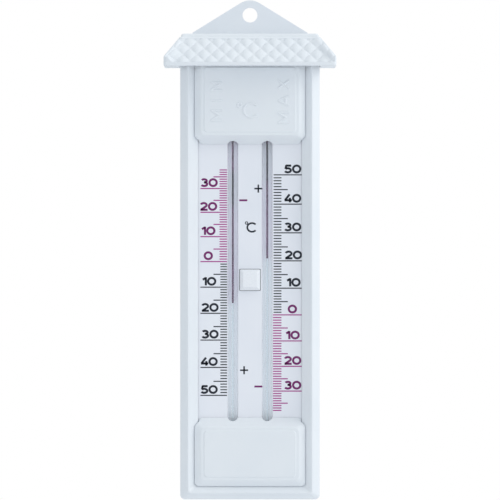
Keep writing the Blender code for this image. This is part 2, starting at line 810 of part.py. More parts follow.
def make_carrier(parent):
    """Plate behind the scale that holds both magnets and slides on the back plate's two posts."""
    at = (0, -CARRIER_BACK, -BUTTON_CENTRE)
    carrier = add_mesh(
        "magnet_carrier",
        [
            box(
                [-CARRIER_HALF, CARRIER_HALF],
                [CARRIER_BACK, CARRIER_FRONT],
                [-MAGNET_BOTTOM - CARRIER_MARGIN, -MAGNET_TOP + CARRIER_MARGIN],
            )
        ],
        material("carrier_abs", (0.25, 0.27, 0.30), 0.5),
        at=at,
        parent=parent,
    )
    holes = [
        cylinder(
            POST_DIAMETER / 2 + GAP, (0, -CARRIER_BACK + GAP, z), (0, -1, 0), CARRIER_THICKNESS + 2 * GAP
        )
        for z in SPRING_Z
    ]
    boolean(carrier, "DIFFERENCE", "post_holes", holes)
    for side, name in ((-1, "left_magnet"), (1, "right_magnet")):
        add_mesh(
            name,
            [
                box(
                    [side * TUBE_X - MAGNET_WIDTH / 2, side * TUBE_X + MAGNET_WIDTH / 2],
                    [MAGNET_FRONT - MAGNET_THICKNESS, MAGNET_FRONT],
                    [-MAGNET_BOTTOM, -MAGNET_TOP],
                )
            ],
            material("ferrite_strip", (0.10, 0.09, 0.09), 0.7),
            at=at,
            parent=parent,
        )
    return carrier


def make_spring(name, z, parent):
    """Round-wire return spring on a post, between the back plate and the carrier."""
    start = PLATE_THICKNESS + GAP + SPRING_WIRE / 2
    end = CARRIER_BACK - GAP - SPRING_WIRE / 2
    radius = SPRING_DIAMETER / 2 - SPRING_WIRE / 2
    per_turn, sides = 12, 6
    count = round(per_turn * SPRING_TURNS)
    rings = []
    for k in range(count + 1):
        turn = 2 * math.pi * k / per_turn
        out = Vector((math.cos(turn), 0, math.sin(turn)))
        middle = out * radius + Vector((0, -(start + (end - start) * k / count), z))
        rings.append(
            [
                middle
                + SPRING_WIRE
                / 2
                * (
                    math.cos(2 * math.pi * i / sides) * out
                    + math.sin(2 * math.pi * i / sides) * Vector((0, 1, 0))
                )
                for i in range(sides)
            ]
        )
    return add_mesh(
        name, [loft(rings)], material("spring_steel", (0.55, 0.55, 0.57), 0.3, 1.0), parent=parent, smooth=50
    )


# ---- fasteners and foam --------------------------------------------------------------------------------


def make_screw(name, x, z, parent):
    """Countersunk screw from the back, with a cross slot in its head."""
    profile = [
        (0, 2 * GAP),
        (SCREW_HEAD_DIAMETER / 2, 2 * GAP),
        (SCREW_DIAMETER / 2 - SLIP, SCREW_HEAD_DEPTH + GAP),
        (SCREW_DIAMETER / 2 - SLIP, SCREW_LENGTH - 1.2 * MM),
        (0.3 * MM, SCREW_LENGTH),
        (0, SCREW_LENGTH),
    ]
    screw = add_mesh(
        name,
        [turned(profile, (x, 0, z), (0, -1, 0), 14)],
        material("zinc_steel", (0.62, 0.62, 0.60), 0.35, 1.0),
        at=(x, 0, z),
        parent=parent,
        smooth=40,
    )
    reach, thick = SCREW_HEAD_DIAMETER * 0.3, 0.3 * MM
    slots = [
        box([x - reach, x + reach], [0, 2 * GAP + 0.6 * MM], [z - thick, z + thick]),
        box([x - thick, x + thick], [0, 2 * GAP + 0.6 * MM], [z - reach, z + reach]),
    ]
    for k, slot in enumerate(slots):
        boolean(screw, "DIFFERENCE", f"slot_{k}", [slot])
    return screw


def make_pad(name, half_x, x, low, high, front, parent):
    """Foam block between the back plate and the glass."""
    back = PLATE_THICKNESS + GAP
    edge = 0.8 * MM
    loops = [
        rounded(half_x - inset, low + inset, high - inset, 1.5 * MM, depth)
        for depth, inset in ((back, edge), (back + edge, 0), (front - edge, 0), (front, edge))
    ]
    loops = [[(px + x, py, pz) for px, py, pz in loop] for loop in loops]
    return add_mesh(name, [loft(loops)], material("grey_foam", (0.22, 0.22, 0.24), 0.95), parent=parent)


# ---- assembly ------------------------------------------------------------------------------------------


def add_empty(name, at, parent=None):
    """An empty that carries a group of pieces."""
    made = bpy.data.objects.new(name, None)
    bpy.context.scene.collection.objects.link(made)
    made.location = at
    if parent:
        made.parent = parent
    bpy.context.view_layer.update()
    return made


def build():
    """Clears the scene and makes every piece."""
    for old in list(bpy.data.objects):
        bpy.data.objects.remove(old)
    case = add_empty("case", (0, 0, 0))
    press = add_empty("press_group", (0, -CARRIER_BACK, -BUTTON_CENTRE), case)
    min_level = add_empty("min_level_group", (-TUBE_X, -TUBE_DEPTH, -MIN_LEVEL), case)
    max_level = add_empty("max_level_group", (TUBE_X, -TUBE_DEPTH, -MAX_LEVEL), case)

    make_back_plate(case)
    make_housing(case)
    make_roof(case)
    make_cover("upper_cover", OPENING_TOP, UPPER_COVER_END, UPPER_COVER_BEVEL, case)
    make_cover("lower_cover", OPENING_BOTTOM, LOWER_COVER_END, LOWER_COVER_BEVEL, case)
    make_scale_plate(case)
    make_glass(case)
    make_bulb_spirit(case)
    make_liquids(case, min_level, max_level)
    make_index("min_index", -TUBE_X, MIN_PIN_FOOT, case)
    make_index("max_index", TUBE_X, MAX_PIN_FOOT, case)
    make_button(press)
    make_carrier(press)
    make_spring("upper_spring", SPRING_Z[0], case)
    make_spring("lower_spring", SPRING_Z[1], case)
    for level, z in zip(("upper", "lower"), SCREW_Z):
        make_screw(f"{level}_left_screw", -SCREW_X, z, case)
        make_screw(f"{level}_right_screw", SCREW_X, z, case)
    bulb_back = TUBE_DEPTH - BULB_DIAMETER / 2 - GAP
    bulb_top = -(NECK - BULB_LENGTH)
    make_pad("bulb_pad", PAD_WIDTH / 2, -TUBE_X, -NECK + 4 * MM, bulb_top - 4 * MM, bulb_back, case)
    bend_back = TUBE_DEPTH - TUBE_RADIUS - GAP
    bend_low = -BEND_START - TUBE_X - TUBE_RADIUS
    bend_half = TUBE_X + TUBE_RADIUS
    make_pad("bend_pad", bend_half, 0, bend_low, bend_low + BEND_PAD_HEIGHT, bend_back, case)


build()
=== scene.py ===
# %% [markdown]
# # A maximum minimum thermometer, dressed piece by piece
# The thermometer is a white moulded case with a tiled rain roof, a printed scale, a glass tube bent into
# a U, and a square button that lets two steel index pins fall back on the liquid. The CAD frame already
# holds every part at its true size. This lesson gives each visible part its softened edges, its print and
# its finish. Everything is in metres, with x to the right, z up, and the wall at y = 0 behind the case.

# %% Load the frame
import math

import bmesh
import bpy
import numpy as np
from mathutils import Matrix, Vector


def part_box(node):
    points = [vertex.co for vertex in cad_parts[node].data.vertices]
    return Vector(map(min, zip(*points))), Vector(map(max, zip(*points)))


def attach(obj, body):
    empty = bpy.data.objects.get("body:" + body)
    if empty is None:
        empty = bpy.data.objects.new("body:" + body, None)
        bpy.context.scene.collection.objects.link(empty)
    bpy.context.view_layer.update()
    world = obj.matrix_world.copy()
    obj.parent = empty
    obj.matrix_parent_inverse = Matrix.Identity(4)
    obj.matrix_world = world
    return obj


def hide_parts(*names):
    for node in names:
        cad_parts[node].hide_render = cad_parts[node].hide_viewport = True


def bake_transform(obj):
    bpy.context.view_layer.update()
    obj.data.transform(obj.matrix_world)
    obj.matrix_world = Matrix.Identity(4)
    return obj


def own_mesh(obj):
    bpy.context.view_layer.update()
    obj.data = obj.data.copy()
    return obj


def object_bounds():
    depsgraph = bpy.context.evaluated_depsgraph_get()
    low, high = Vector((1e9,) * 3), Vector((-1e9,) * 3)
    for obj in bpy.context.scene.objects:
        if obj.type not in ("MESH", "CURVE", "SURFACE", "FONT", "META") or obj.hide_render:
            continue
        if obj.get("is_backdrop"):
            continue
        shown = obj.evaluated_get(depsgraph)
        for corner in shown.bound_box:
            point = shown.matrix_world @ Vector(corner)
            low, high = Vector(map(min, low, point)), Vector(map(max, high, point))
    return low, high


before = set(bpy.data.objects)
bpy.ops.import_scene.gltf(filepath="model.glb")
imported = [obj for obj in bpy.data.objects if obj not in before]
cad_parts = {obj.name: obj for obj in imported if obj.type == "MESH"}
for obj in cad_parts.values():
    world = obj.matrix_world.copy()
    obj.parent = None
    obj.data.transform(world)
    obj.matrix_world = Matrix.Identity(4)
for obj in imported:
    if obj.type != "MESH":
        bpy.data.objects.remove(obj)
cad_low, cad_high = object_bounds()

MM = 0.001
print("CAD box in mm:", [round(x / MM, 1) for x in cad_high - cad_low])

# %% [markdown]
# ## Camera, light and floor
# The view is square on, from 2 m in front of the case, so a long lens keeps the perspective faint. One large
# soft lamp stands high on the right, as a window would. The surroundings are pale and slightly cool, and get
# brighter towards the window, so that the shade has a soft direction too. An evenly bright room would leave
# the white slopes all alike.

# %% Camera
VIEW_DISTANCE = 2.0
VIEW_PLANE = -0.015  # the depth at which the frame's width was worked out
VIEW_WIDTH = 0.233
SENSOR = 36.0

VIEW_HEIGHT = -0.11017

scene = bpy.context.scene


def add_object(name, data):
    """Puts a camera, a lamp or a mesh in the scene."""
    made = bpy.data.objects.new(name, data)
    scene.collection.objects.link(made)
    return made


camera = add_object("camera", bpy.data.cameras.new("camera"))
camera.data.sensor_width = SENSOR
camera.data.lens = SENSOR * VIEW_DISTANCE / VIEW_WIDTH
camera.location = (0, VIEW_PLANE - VIEW_DISTANCE, VIEW_HEIGHT)
camera.rotation_euler = (math.pi / 2, 0, 0)
scene.camera = camera
print(f"lens {camera.data.lens:.1f} mm")


# %% Colours and nodes
def colour(code, alpha=1.0):
    """An sRGB hex colour as linear red, green, blue and alpha."""
    encoded = np.array([int(code[i : i + 2], 16) / 255 for i in (0, 2, 4)])
    linear = np.where(encoded <= 0.04045, encoded / 12.92, ((encoded + 0.055) / 1.055) ** 2.4)
    return (*linear.tolist(), alpha)


def add_node(tree, kind, values=(), links=(), **settings):
    """Adds a node with its settings, its socket values and its links, each (socket, node, output)."""
    made = tree.nodes.new(kind)
    for name, value in settings.items():
        setattr(made, name, value)
    for socket, value in dict(values).items():
        made.inputs[socket].default_value = value
    for socket, source, output in links:
        tree.links.new(source.outputs[output], made.inputs[socket])
    return made


# %% Surroundings and lamps
scene.view_settings.view_transform = "Standard"
world = bpy.data.worlds.new("pale_room")
scene.world = world
world.use_nodes = True
sky = world.node_tree
sky.nodes.clear()
WINDOW_SIDE = (0.75, 0.0, 0.66)
SIDE_GAIN, EVEN_LEVEL = 0.25, 0.85  # strength = gain times (direction . window side) + even level
LAMP_PLACE = (1.2, -0.42, 0.55)

around = add_node(sky, "ShaderNodeTexCoord")
facing = add_node(
    sky, "ShaderNodeVectorMath", {1: WINDOW_SIDE}, [(0, around, "Generated")], operation="DOT_PRODUCT"
)
values = {1: SIDE_GAIN, 2: EVEN_LEVEL}
level = add_node(sky, "ShaderNodeMath", values, [(0, facing, "Value")], operation="MULTIPLY_ADD")
fill = add_node(sky, "ShaderNodeBackground", {"Color": colour("EFF4F8")}, [("Strength", level, 0)])
paper = add_node(sky, "ShaderNodeBackground", {"Color": colour("FFFFFF"), "Strength": 1.0})
path = add_node(sky, "ShaderNodeLightPath")
links = [(0, path, "Is Camera Ray"), (1, fill, 0), (2, paper, 0)]
choice = add_node(sky, "ShaderNodeMixShader", {}, links)
add_node(sky, "ShaderNodeOutputWorld", links=[("Surface", choice, 0)])

lamp = add_object("window_lamp", bpy.data.lights.new("window_lamp", "AREA"))
lamp.data.size = 0.6
lamp.data.energy = 3.8
lamp.data.color = colour("FFFCF6")[:3]
lamp.location = LAMP_PLACE
aim = Vector((cad_low + cad_high) / 2) - Vector(LAMP_PLACE)
lamp.rotation_euler = aim.to_track_quat("-Z", "Y").to_euler()
print("lamp:", lamp.name)

# %% [markdown]
# ## How the surfaces are made
# A moulded or blown piece is a grid: one direction runs round it and the other along it. Its points are
# worked out as whole arrays, and its faces are the squares between neighbours in the grid. A row that
# shrinks to one point closes the surface, and a weld then merges the points that fall together.


# %% Grids
def squares(rows, columns, ring_rows=False, ring_columns=False):
    """A grid's faces: each joins a point, its right neighbour, and the two in the next row."""
    r, c = np.meshgrid(
        np.arange(rows if ring_rows else rows - 1),
        np.arange(columns if ring_columns else columns - 1),
        indexing="ij",
    )
    below, right = (r + 1) % rows, (c + 1) % columns
    corners = [r * columns + c, r * columns + right, below * columns + right, below * columns + c]
    return np.stack(corners, -1).reshape(-1, 4)


def solid(loops, ring=False):
    """Skins closed loops, an array of (rows, columns, 3).

    The last loop joins the first in a ring. Otherwise each end closes on the middle of its loop.
    """
    loops = np.asarray(loops, float)
    if not ring:
        middles = loops[[0, -1]].mean(1, keepdims=True).repeat(loops.shape[1], 1)
        loops = np.concatenate([middles[:1], loops, middles[1:]])
    return loops.reshape(-1, 3), squares(*loops.shape[:2], ring, True)


CREASE = 32.0  # degrees: a sharper edge stays crisp when the piece is shaded
ROUND_CREASE = 60.0  # for slim round pieces, whose sides meet at larger angles


def welded(name, sheets):
    """One mesh from (points, faces) sheets.

    Points that fall together are merged, what collapses is dropped, and every face turns outwards.
    """
    starts = np.cumsum([0] + [len(points) for points, _ in sheets])
    points = np.concatenate([p for p, _ in sheets])
    faces = np.concatenate([f + start for (_, f), start in zip(sheets, starts)])
    mesh = bpy.data.meshes.new(name)
    mesh.from_pydata(points.tolist(), [], faces.tolist())
    work = bmesh.new()
    work.from_mesh(mesh)
    bmesh.ops.remove_doubles(work, verts=work.verts, dist=0.001 * MM)
    bmesh.ops.dissolve_degenerate(work, edges=work.edges, dist=0.0005 * MM)
    bmesh.ops.recalc_face_normals(work, faces=work.faces)
    work.to_mesh(mesh)
    work.free()
    return mesh


def make(name, sheets, finish, body, stands_for=(), crease=CREASE):
    """One piece from (points, faces) sheets, with its finish, its body and the CAD nodes it replaces."""
    mesh = welded(name, sheets)
    mesh.shade_smooth()
    mesh.set_sharp_from_angle(angle=math.radians(crease))
    mesh.materials.append(finish)
    piece = add_object(name, mesh)
    if stands_for:
        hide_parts(*stands_for)
    if body:
        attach(piece, body)
    print(f"{name}: {len(mesh.polygons)} faces")
    return piece


def cut(piece, sheets):
    """Takes solids out of a piece that is already made, and keeps the result as its mesh."""
    tool = add_object("cutter", welded("cutter", sheets))
    step = piece.modifiers.new("cut", "BOOLEAN")
    step.operation = "DIFFERENCE"
    step.solver = "EXACT"
    step.object = tool
    settled = piece.evaluated_get(bpy.context.evaluated_depsgraph_get())
    piece.data = bpy.data.meshes.new_from_object(settled)
    piece.modifiers.clear()
    bpy.data.objects.remove(tool)
    piece.data.set_sharp_from_angle(angle=math.radians(CREASE))
    print(f"{piece.name}: {len(piece.data.polygons)} faces after the cut")


# %% Profiles and outlines
def soften(corners, reach, steps=6, hold=0.25 * MM):
    """Rounds the corners of a closed profile, given as rows of any numbers of columns.

    Near a corner p the profile leaves its two straight legs at points a and b, `reach` away, and follows
    (1 - t)^2 a + 2 t (1 - t) p + t^2 b. One more point on each leg keeps the flats flat when shaded.
    """
    p = np.asarray(corners, float)
    reach = np.broadcast_to(np.asarray(reach, float), len(p))[:, None]
    legs = np.stack([np.roll(p, 1, 0) - p, np.roll(p, -1, 0) - p])
    length = np.maximum(np.linalg.norm(legs, axis=2, keepdims=True), 1e-9)
    near = p + legs * np.minimum(reach / length, 0.44)
    far = p + legs * np.minimum((reach + np.where(reach > 0, hold, 0)) / length, 0.48)
    t = np.linspace(0, 1, steps)[None, :, None]
    curve = (1 - t) ** 2 * near[0][:, None] + 2 * t * (1 - t) * p[:, None] + t**2 * near[1][:, None]
    rows = np.concatenate([far[0][:, None], curve, far[1][:, None]], 1)
    return rows.reshape(-1, p.shape[1])


def rounded_loops(half, low, high, radius, depth, steps=8, extra=()):
    """Upright rectangles with round corners, one for each row, as loops seen from the front.

    A corner point is the corner's centre plus the radius times (cos a, sin a). `extra` lists places x
    that get a point of their own on the upper side, kept inside the corners.
    """
    half, low, high, radius, depth = (
        np.atleast_1d(np.asarray(v, float))[:, None] for v in (half, low, high, radius, depth)
    )
    radius = np.minimum(radius, np.minimum(half, (high - low) / 2))
    quarter = np.linspace(0, math.pi / 2, steps)
    corners = []
    for turn, (side, end) in enumerate(((1, -1), (1, 1), (-1, 1), (-1, -1))):
        angle = quarter + (turn - 1) * math.pi / 2
        middle = (high - radius) if end > 0 else (low + radius)
        corners.append((side * (half - radius) + radius * np.cos(angle), middle + radius * np.sin(angle)))
        if turn == 1 and len(extra):
            across = np.clip(np.asarray(extra), radius - half, half - radius)
            corners.append((across, high + 0 * across))
    x = np.concatenate([np.broadcast_to(a, (len(half), a.shape[1])) for a, _ in corners], 1)
    z = np.concatenate([np.broadcast_to(b, (len(half), b.shape[1])) for _, b in corners], 1)
    return np.stack([x, np.broadcast_to(-depth, x.shape), z], -1)


def carry(path, section, scale=1.0, depth=0.0, ring=False):
    """Carries a section along a path of x and z, in the upright plane at a depth from the wall.

    A point is the path's point, plus the section's first number times the path's unit normal, plus its
    second number towards the viewer, both times the scale there.
    """
    path = np.asarray(path, float)
    run = np.roll(path, -1, 0) - np.roll(path, 1, 0) if ring else np.gradient(path, axis=0)
    run /= np.linalg.norm(run, axis=1, keepdims=True)
    offset = np.asarray(section, float)[None] * np.reshape(scale, (-1, 1, 1)) * np.ones((len(path), 1, 1))
    x = path[:, :1] - run[:, 1:] * offset[:, :, 0]
    z = path[:, 1:] + run[:, :1] * offset[:, :, 0]
    return np.stack([x, -depth - offset[:, :, 1], z], -1)


def circle(count):
    """A circle of radius 1, as `count` points of (cos a, sin a)."""
    angle = np.linspace(0, 2 * math.pi, count, endpoint=False)
    return np.stack([np.cos(angle), np.sin(angle)], 1)


def along_tube(path, radius, sides=20):
    """A round solid in the tube's plane: a circle of each radius, carried along a path."""
    return [solid(carry(path, circle(sides), radius, tube_depth))]


def limits(node):
    """The half width, lowest z, highest z and greatest depth of a CAD node."""
    low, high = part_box(node)
    return (high.x - low.x) / 2, low.z, high.z, -low.y


# %% [markdown]
# ## White moulded ABS
# The case, roof and covers are injection moulded in white ABS from a finely polished mould. It is nearly
# white with a cool cast, and satin: lamps show as broad soft patches. A very fine ripple breaks up the
# gloss, and a faint change of tone over a few centimetres keeps large faces from looking painted.


# %% Plastic finishes
def new_finish(name, base, roughness, **sockets):
    """A Principled material with its even values set on the shader's own sockets."""
    made = bpy.data.materials.new(name)
    made.use_nodes = True
    tree = made.node_tree
    shader = tree.nodes["Principled BSDF"]
    shader.inputs["Base Color"].default_value = colour(base)
    shader.inputs["Roughness"].default_value = roughness
    for socket, value in sockets.items():
        shader.inputs[socket.replace("_", " ")].default_value = value
    return made, tree, shader


def moulded(name, light, dark, roughness, grain_mm, ripple, tone_mm=24.0, **sockets):
    """Moulded plastic: two close tones that drift over `tone_mm`, and a ripple of `grain_mm`.

    A noise texture's values lie mostly between 0.3 and 0.7, so the tones and the gloss follow that range.
    """
    made, tree, shader = new_finish(name, light, roughness, **sockets)
    on_piece = [("Vector", add_node(tree, "ShaderNodeTexCoord"), "Object")]
    values = {"Scale": 1 / (tone_mm * MM), "Detail": 2.0, "Roughness": 0.5}
    drift = add_node(tree, "ShaderNodeTexNoise", values, on_piece)
    tones = add_node(tree, "ShaderNodeValToRGB", links=[("Fac", drift, 0)])
    for stop, place, code in zip(tones.color_ramp.elements, (0.3, 0.7), (dark, light)):
        stop.position, stop.color = place, colour(code)
    tree.links.new(tones.outputs[0], shader.inputs["Base Color"])
    values = {"Scale": 1 / (grain_mm * MM), "Detail": 3.0, "Roughness": 0.6}
    grain = add_node(tree, "ShaderNodeTexNoise", values, on_piece)
    values = {"Strength": ripple, "Distance": 0.02 * MM}
    bump = add_node(tree, "ShaderNodeBump", values, [("Height", grain, 0)])
    tree.links.new(bump.outputs[0], shader.inputs["Normal"])
    values = {"From Min": 0.3, "From Max": 0.7, "To Min": roughness - 0.03, "To Max": roughness + 0.04}
    wear = add_node(tree, "ShaderNodeMapRange", values, [("Value", grain, 0)])
    tree.links.new(wear.outputs[0], shader.inputs["Roughness"])
    return made


WHITE_ABS = moulded("satin_moulded_abs", "EDF1F5", "E9EEF3", 0.36, 0.5, 0.5, IOR=1.53)
REAR_ABS = moulded("plain_moulded_abs", "EBEFF4", "E6EBF1", 0.42, 0.4, 0.7, IOR=1.53)
BUTTON_ABS = moulded("polished_button_abs", "F4F6FA", "F0F3F8", 0.28, 0.6, 0.3, IOR=1.53)
SCALE_BOARD = moulded("satin_scale_plate", "F1F3F9", "ECEFF6", 0.42, 0.4, 0.4, IOR=1.53)
CARRIER_ABS = moulded("grey_moulded_abs", "474C55", "3F444C", 0.48, 0.4, 0.8, IOR=1.53)

# %% [markdown]
# ## The case
# The case is a hollow frame: a straight rim, an outer bevel, a ridge, and an inner slope down to the scale.
# It could be cut from a block with bevel modifiers, but one profile carried round a rounded rectangle gives
# every mitre and fillet at once. Where the hanging tab comes out at the top, the two rows at the wall step
# forward, which leaves the slot that the tab passes through.

# %% Case frame
half_body, body_bottom, body_top, ridge = limits("housing")
RIM = 16.5 * MM
SIDE_BEVEL = 3.7 * MM
END_BEVEL = 3.1 * MM
RAIL_SLOPE = 4.6 * MM
LIP = 0.8 * MM
WALL = 2.0 * MM
BODY_CORNER = 2.2 * MM
GAP = 0.3 * MM
PLATE = 2.5 * MM
HALF_TAB = 27.0 * MM
scale_half, scale_bottom, scale_top, scale_depth = limits("scale_plate")
lip_depth = scale_depth + GAP
slope_foot = lip_depth + LIP
side_rail = SIDE_BEVEL + RAIL_SLOPE
end_rail = END_BEVEL + RAIL_SLOPE

frame_profile = soften(
    [
        (0, 0, 0, BODY_CORNER),
        (0, 0, RIM, BODY_CORNER),
        (SIDE_BEVEL, END_BEVEL, ridge, 1.6 * MM),
        (side_rail, end_rail, slope_foot, 1.0 * MM),
        (side_rail, end_rail, lip_depth, 1.0 * MM),
        (SIDE_BEVEL, END_BEVEL, ridge - WALL, 0.8 * MM),
        (WALL, WALL, RIM - WALL / 2, 1.2 * MM),
        (WALL, WALL, 0, 1.2 * MM),
    ],
    np.array([0.2, 0.7, 0.8, 0.3, 0.1, 0.4, 0.4, 0.1]) * MM,
)
side, end, depth, radius = frame_profile.T
SLOT_SIDE = HALF_TAB + GAP
SLOT_STEP = 0.02 * MM
slot_places = [SLOT_SIDE + SLOT_STEP, SLOT_SIDE, -SLOT_SIDE, -SLOT_SIDE - SLOT_STEP]
low_end, high_end = body_bottom + end, body_top - end
frame_loops = rounded_loops(half_body - side, low_end, high_end, radius, depth, extra=slot_places)
x, y, z = np.moveaxis(frame_loops, -1, 0)
in_slot = (np.abs(x) <= SLOT_SIDE + SLOT_STEP / 2) & (z > body_top - end_rail / 2)
frame_loops[:, :, 1] = np.where(in_slot, np.minimum(y, -PLATE - GAP), y)
make("case_frame", [solid(frame_loops, ring=True)], WHITE_ABS, "case", ["housing"])

# %% [markdown]
# ## The back plate and its hanging tab
# The plate closes the case and runs out above it as the tab with the hole. Its outline, hole and
# countersinks are already exact in CAD, so the piece is a copy with its triangles merged, its flat faces
# joined, and a small bevel on every edge, as a mould leaves it.

# %% Back plate
EDGE = 0.25 * MM
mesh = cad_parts["back_plate"].data.copy()
mesh.name = "back_plate_and_tab"
work = bmesh.new()
work.from_mesh(mesh)
bmesh.ops.remove_doubles(work, verts=work.verts, dist=0.002 * MM)
bmesh.ops.dissolve_limit(
    work, angle_limit=math.radians(1), verts=work.verts, edges=work.edges, use_dissolve_boundaries=False
)
bmesh.ops.recalc_face_normals(work, faces=work.faces)
work.to_mesh(mesh)
work.free()
mesh.materials.clear()
mesh.materials.append(REAR_ABS)
piece = add_object("back_plate_and_tab", mesh)
mesh.shade_smooth()
mesh.set_sharp_from_angle(angle=math.radians(30))
bevel = piece.modifiers.new("edge", "BEVEL")
bevel.width = EDGE
bevel.segments = 2
bevel.limit_method = "ANGLE"
bevel.angle_limit = math.radians(50)
bevel.harden_normals = True
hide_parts("back_plate")
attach(piece, "case")
print(f"back_plate_and_tab: {len(mesh.polygons)} faces before its bevel")

# %% [markdown]
# ## The tiled roof
# The roof is a moulded hood with a flat top, sloping front and hips, and a smooth fascia. Rows of staggered
# lozenge tiles swell from its slopes. Each row of the grid is the roof's outline seen from above, from the
# wall round the front and back to the wall, and the rows run from the middle of the top down to the eaves.
# The same rows, moved in by the wall's thickness, make the inside, and a ladder of faces closes the back. A
# thin floor, the soffit, closes the eaves and fits round the body.

# %% Roof outlines
half_eaves, roof_bottom, roof_top, eaves_depth = limits("roof")
ROOF_INSET = 1.1 * MM
ROOF_TOP_DEPTH = 18.5 * MM
HIP_DROP = 11.1 * MM
FRONT_DROP = 13.6 * MM
HIP_BLEND = 3.0 * MM  # how far from a corner the fascia's upper edge comes down
ROOF_WALL = 2.0 * MM
ROOF_CORNER = 1.2 * MM
half_roof_top = half_body - ROOF_INSET
hip_rate = (half_eaves - half_roof_top) / HIP_DROP
front_rate = (eaves_depth - ROOF_TOP_DEPTH) / FRONT_DROP
hip_wall = ROOF_WALL * math.hypot(hip_rate, 1)
front_wall = ROOF_WALL * math.hypot(front_rate, 1)


def roof_rows(inset):
    """Rows of (back, half width, depth, z at the hips, z at the front) from the middle of the top down.

    With inset 0 they are the outside. With inset 1 every slope is moved in by the wall's thickness.
    """
    top = roof_top - inset * ROOF_WALL
    half = half_roof_top + inset * (hip_rate * ROOF_WALL - hip_wall)
    deep = ROOF_TOP_DEPTH + inset * (front_rate * ROOF_WALL - front_wall)
    half_foot, deep_foot = half_eaves - inset * ROOF_WALL, eaves_depth - inset * ROOF_WALL
    hip_z = top - (half_foot - half) / hip_rate
    front_z = top - (deep_foot - deep) / front_rate
    slot = PLATE + GAP
    share = SLOT_SIDE / half
    rows = [
        (slot, 0, slot, top, top),
        (slot, SLOT_SIDE, share * deep, top, top),
        (0, SLOT_SIDE + SLOT_STEP, share * deep, top, top),
        (0, half, deep, top, top),
        (0, half_foot, deep_foot, hip_z, front_z),
        (0, half_foot, deep_foot, roof_bottom, roof_bottom),
    ]
    return np.array(rows)


def ease(t):
    """Rises smoothly from 0 to 1: 3 t^2 - 2 t^3, for t kept between 0 and 1."""
    t = np.clip(t, 0, 1)
    return t * t * (3 - 2 * t)


SIDE_STEPS = 60
FRONT_STEPS = 176
ARC_STEPS = 9


def roof_outlines(rows):
    """Each row as an outline: left side, round corner, front, round corner and right side.

    The sides and the front are straight mixes of their ends, and z eases from the hips' to the front's.
    """
    back, half, deep, z_hip, z_front = (rows[:, k : k + 1] for k in range(5))
    radius = np.minimum(ROOF_CORNER, np.minimum(half, deep - back))
    f = np.linspace(0, 1, SIDE_STEPS)[None]
    g = np.linspace(0, 1, FRONT_STEPS)[None, 1:-1]
    a = np.linspace(0, math.pi / 2, ARC_STEPS)[None, 1:]
    side_y = -(back + f * (deep - radius - back))
    arc_x = half - radius + radius * np.cos(a)
    arc_y = -(deep - radius + radius * np.sin(a))
    front_x = (half - radius) * (2 * g - 1)
    x = np.concatenate([-half + 0 * f, -arc_x, front_x, arc_x[:, ::-1], half + 0 * f], 1)
    y = np.concatenate([side_y, arc_y, -deep + 0 * g, arc_y[:, ::-1], side_y[:, ::-1]], 1)
    corner = (half - radius - np.abs(front_x)) / HIP_BLEND
    side_turn = np.zeros((len(rows), SIDE_STEPS + ARC_STEPS - 1))
    towards = np.concatenate([side_turn, ease(corner), side_turn], 1)
    z = z_hip + (z_front - z_hip) * towards
    return np.stack([x, y, z], -1)


# %% Roof tiles
TILE_PITCH = 6.55 * MM  # from one tile to the next in a row
TILE_RISE = 3.05 * MM  # height of a row, so that tiles of every second row stand in line
TILE_HEIGHT = 0.85 * MM
FIRST_ROW = roof_top - 3.5 * MM
FIELD_TOP = roof_top - 2.2 * MM
FIELD_BOTTOM = roof_top - 13.9 * MM
FIELD_EDGE = 0.35 * MM
GROOVE_DROP = 1.25 * MM  # a thin line pressed in above the tiles
GROOVE_HALF = 0.28 * MM
GROOVE_DEPTH = 0.3 * MM
CORNER_FADE = 6  # columns of the grid over which the tiles die out beside a hip


def tiles(points):
    """How far each point lies below the top of the tiles.

    With a = x / pitch and b = z / (2 rise), a tile swells as (|cos pi(a + b)| |cos pi(a - b)|)^0.6, and
    on the hips y takes the place of x. The groove above them is a bell curve of the height.
    """
    x, y, z = np.moveaxis(points, -1, 0)
    columns = np.arange(points.shape[1])
    margin = SIDE_STEPS + ARC_STEPS // 2
    on_front = (columns >= margin) & (columns < points.shape[1] - margin)
    along = np.where(on_front[None], x + TILE_PITCH / 4, y) / TILE_PITCH
    down = (z - FIRST_ROW) / (2 * TILE_RISE)
    swell = np.abs(np.cos(math.pi * (along + down)) * np.cos(math.pi * (along - down))) ** 0.6
    corner = np.minimum(np.abs(columns - SIDE_STEPS), np.abs(points.shape[1] - 1 - SIDE_STEPS - columns))
    fade = ease((FIELD_TOP - z) / FIELD_EDGE) * ease((z - FIELD_BOTTOM) / FIELD_EDGE)
    fade = fade * ease(corner[None] / CORNER_FADE)
    groove = np.exp(-(((z - roof_top + GROOVE_DROP) / GROOVE_HALF) ** 2))
    return TILE_HEIGHT * (1 - swell) * fade + GROOVE_DEPTH * groove


def outward(points):
    """Unit normals of a grid: the cross product of its two directions."""
    normal = np.cross(np.gradient(points, axis=0), np.gradient(points, axis=1))
    return normal / np.maximum(np.linalg.norm(normal, axis=2, keepdims=True), 1e-12)


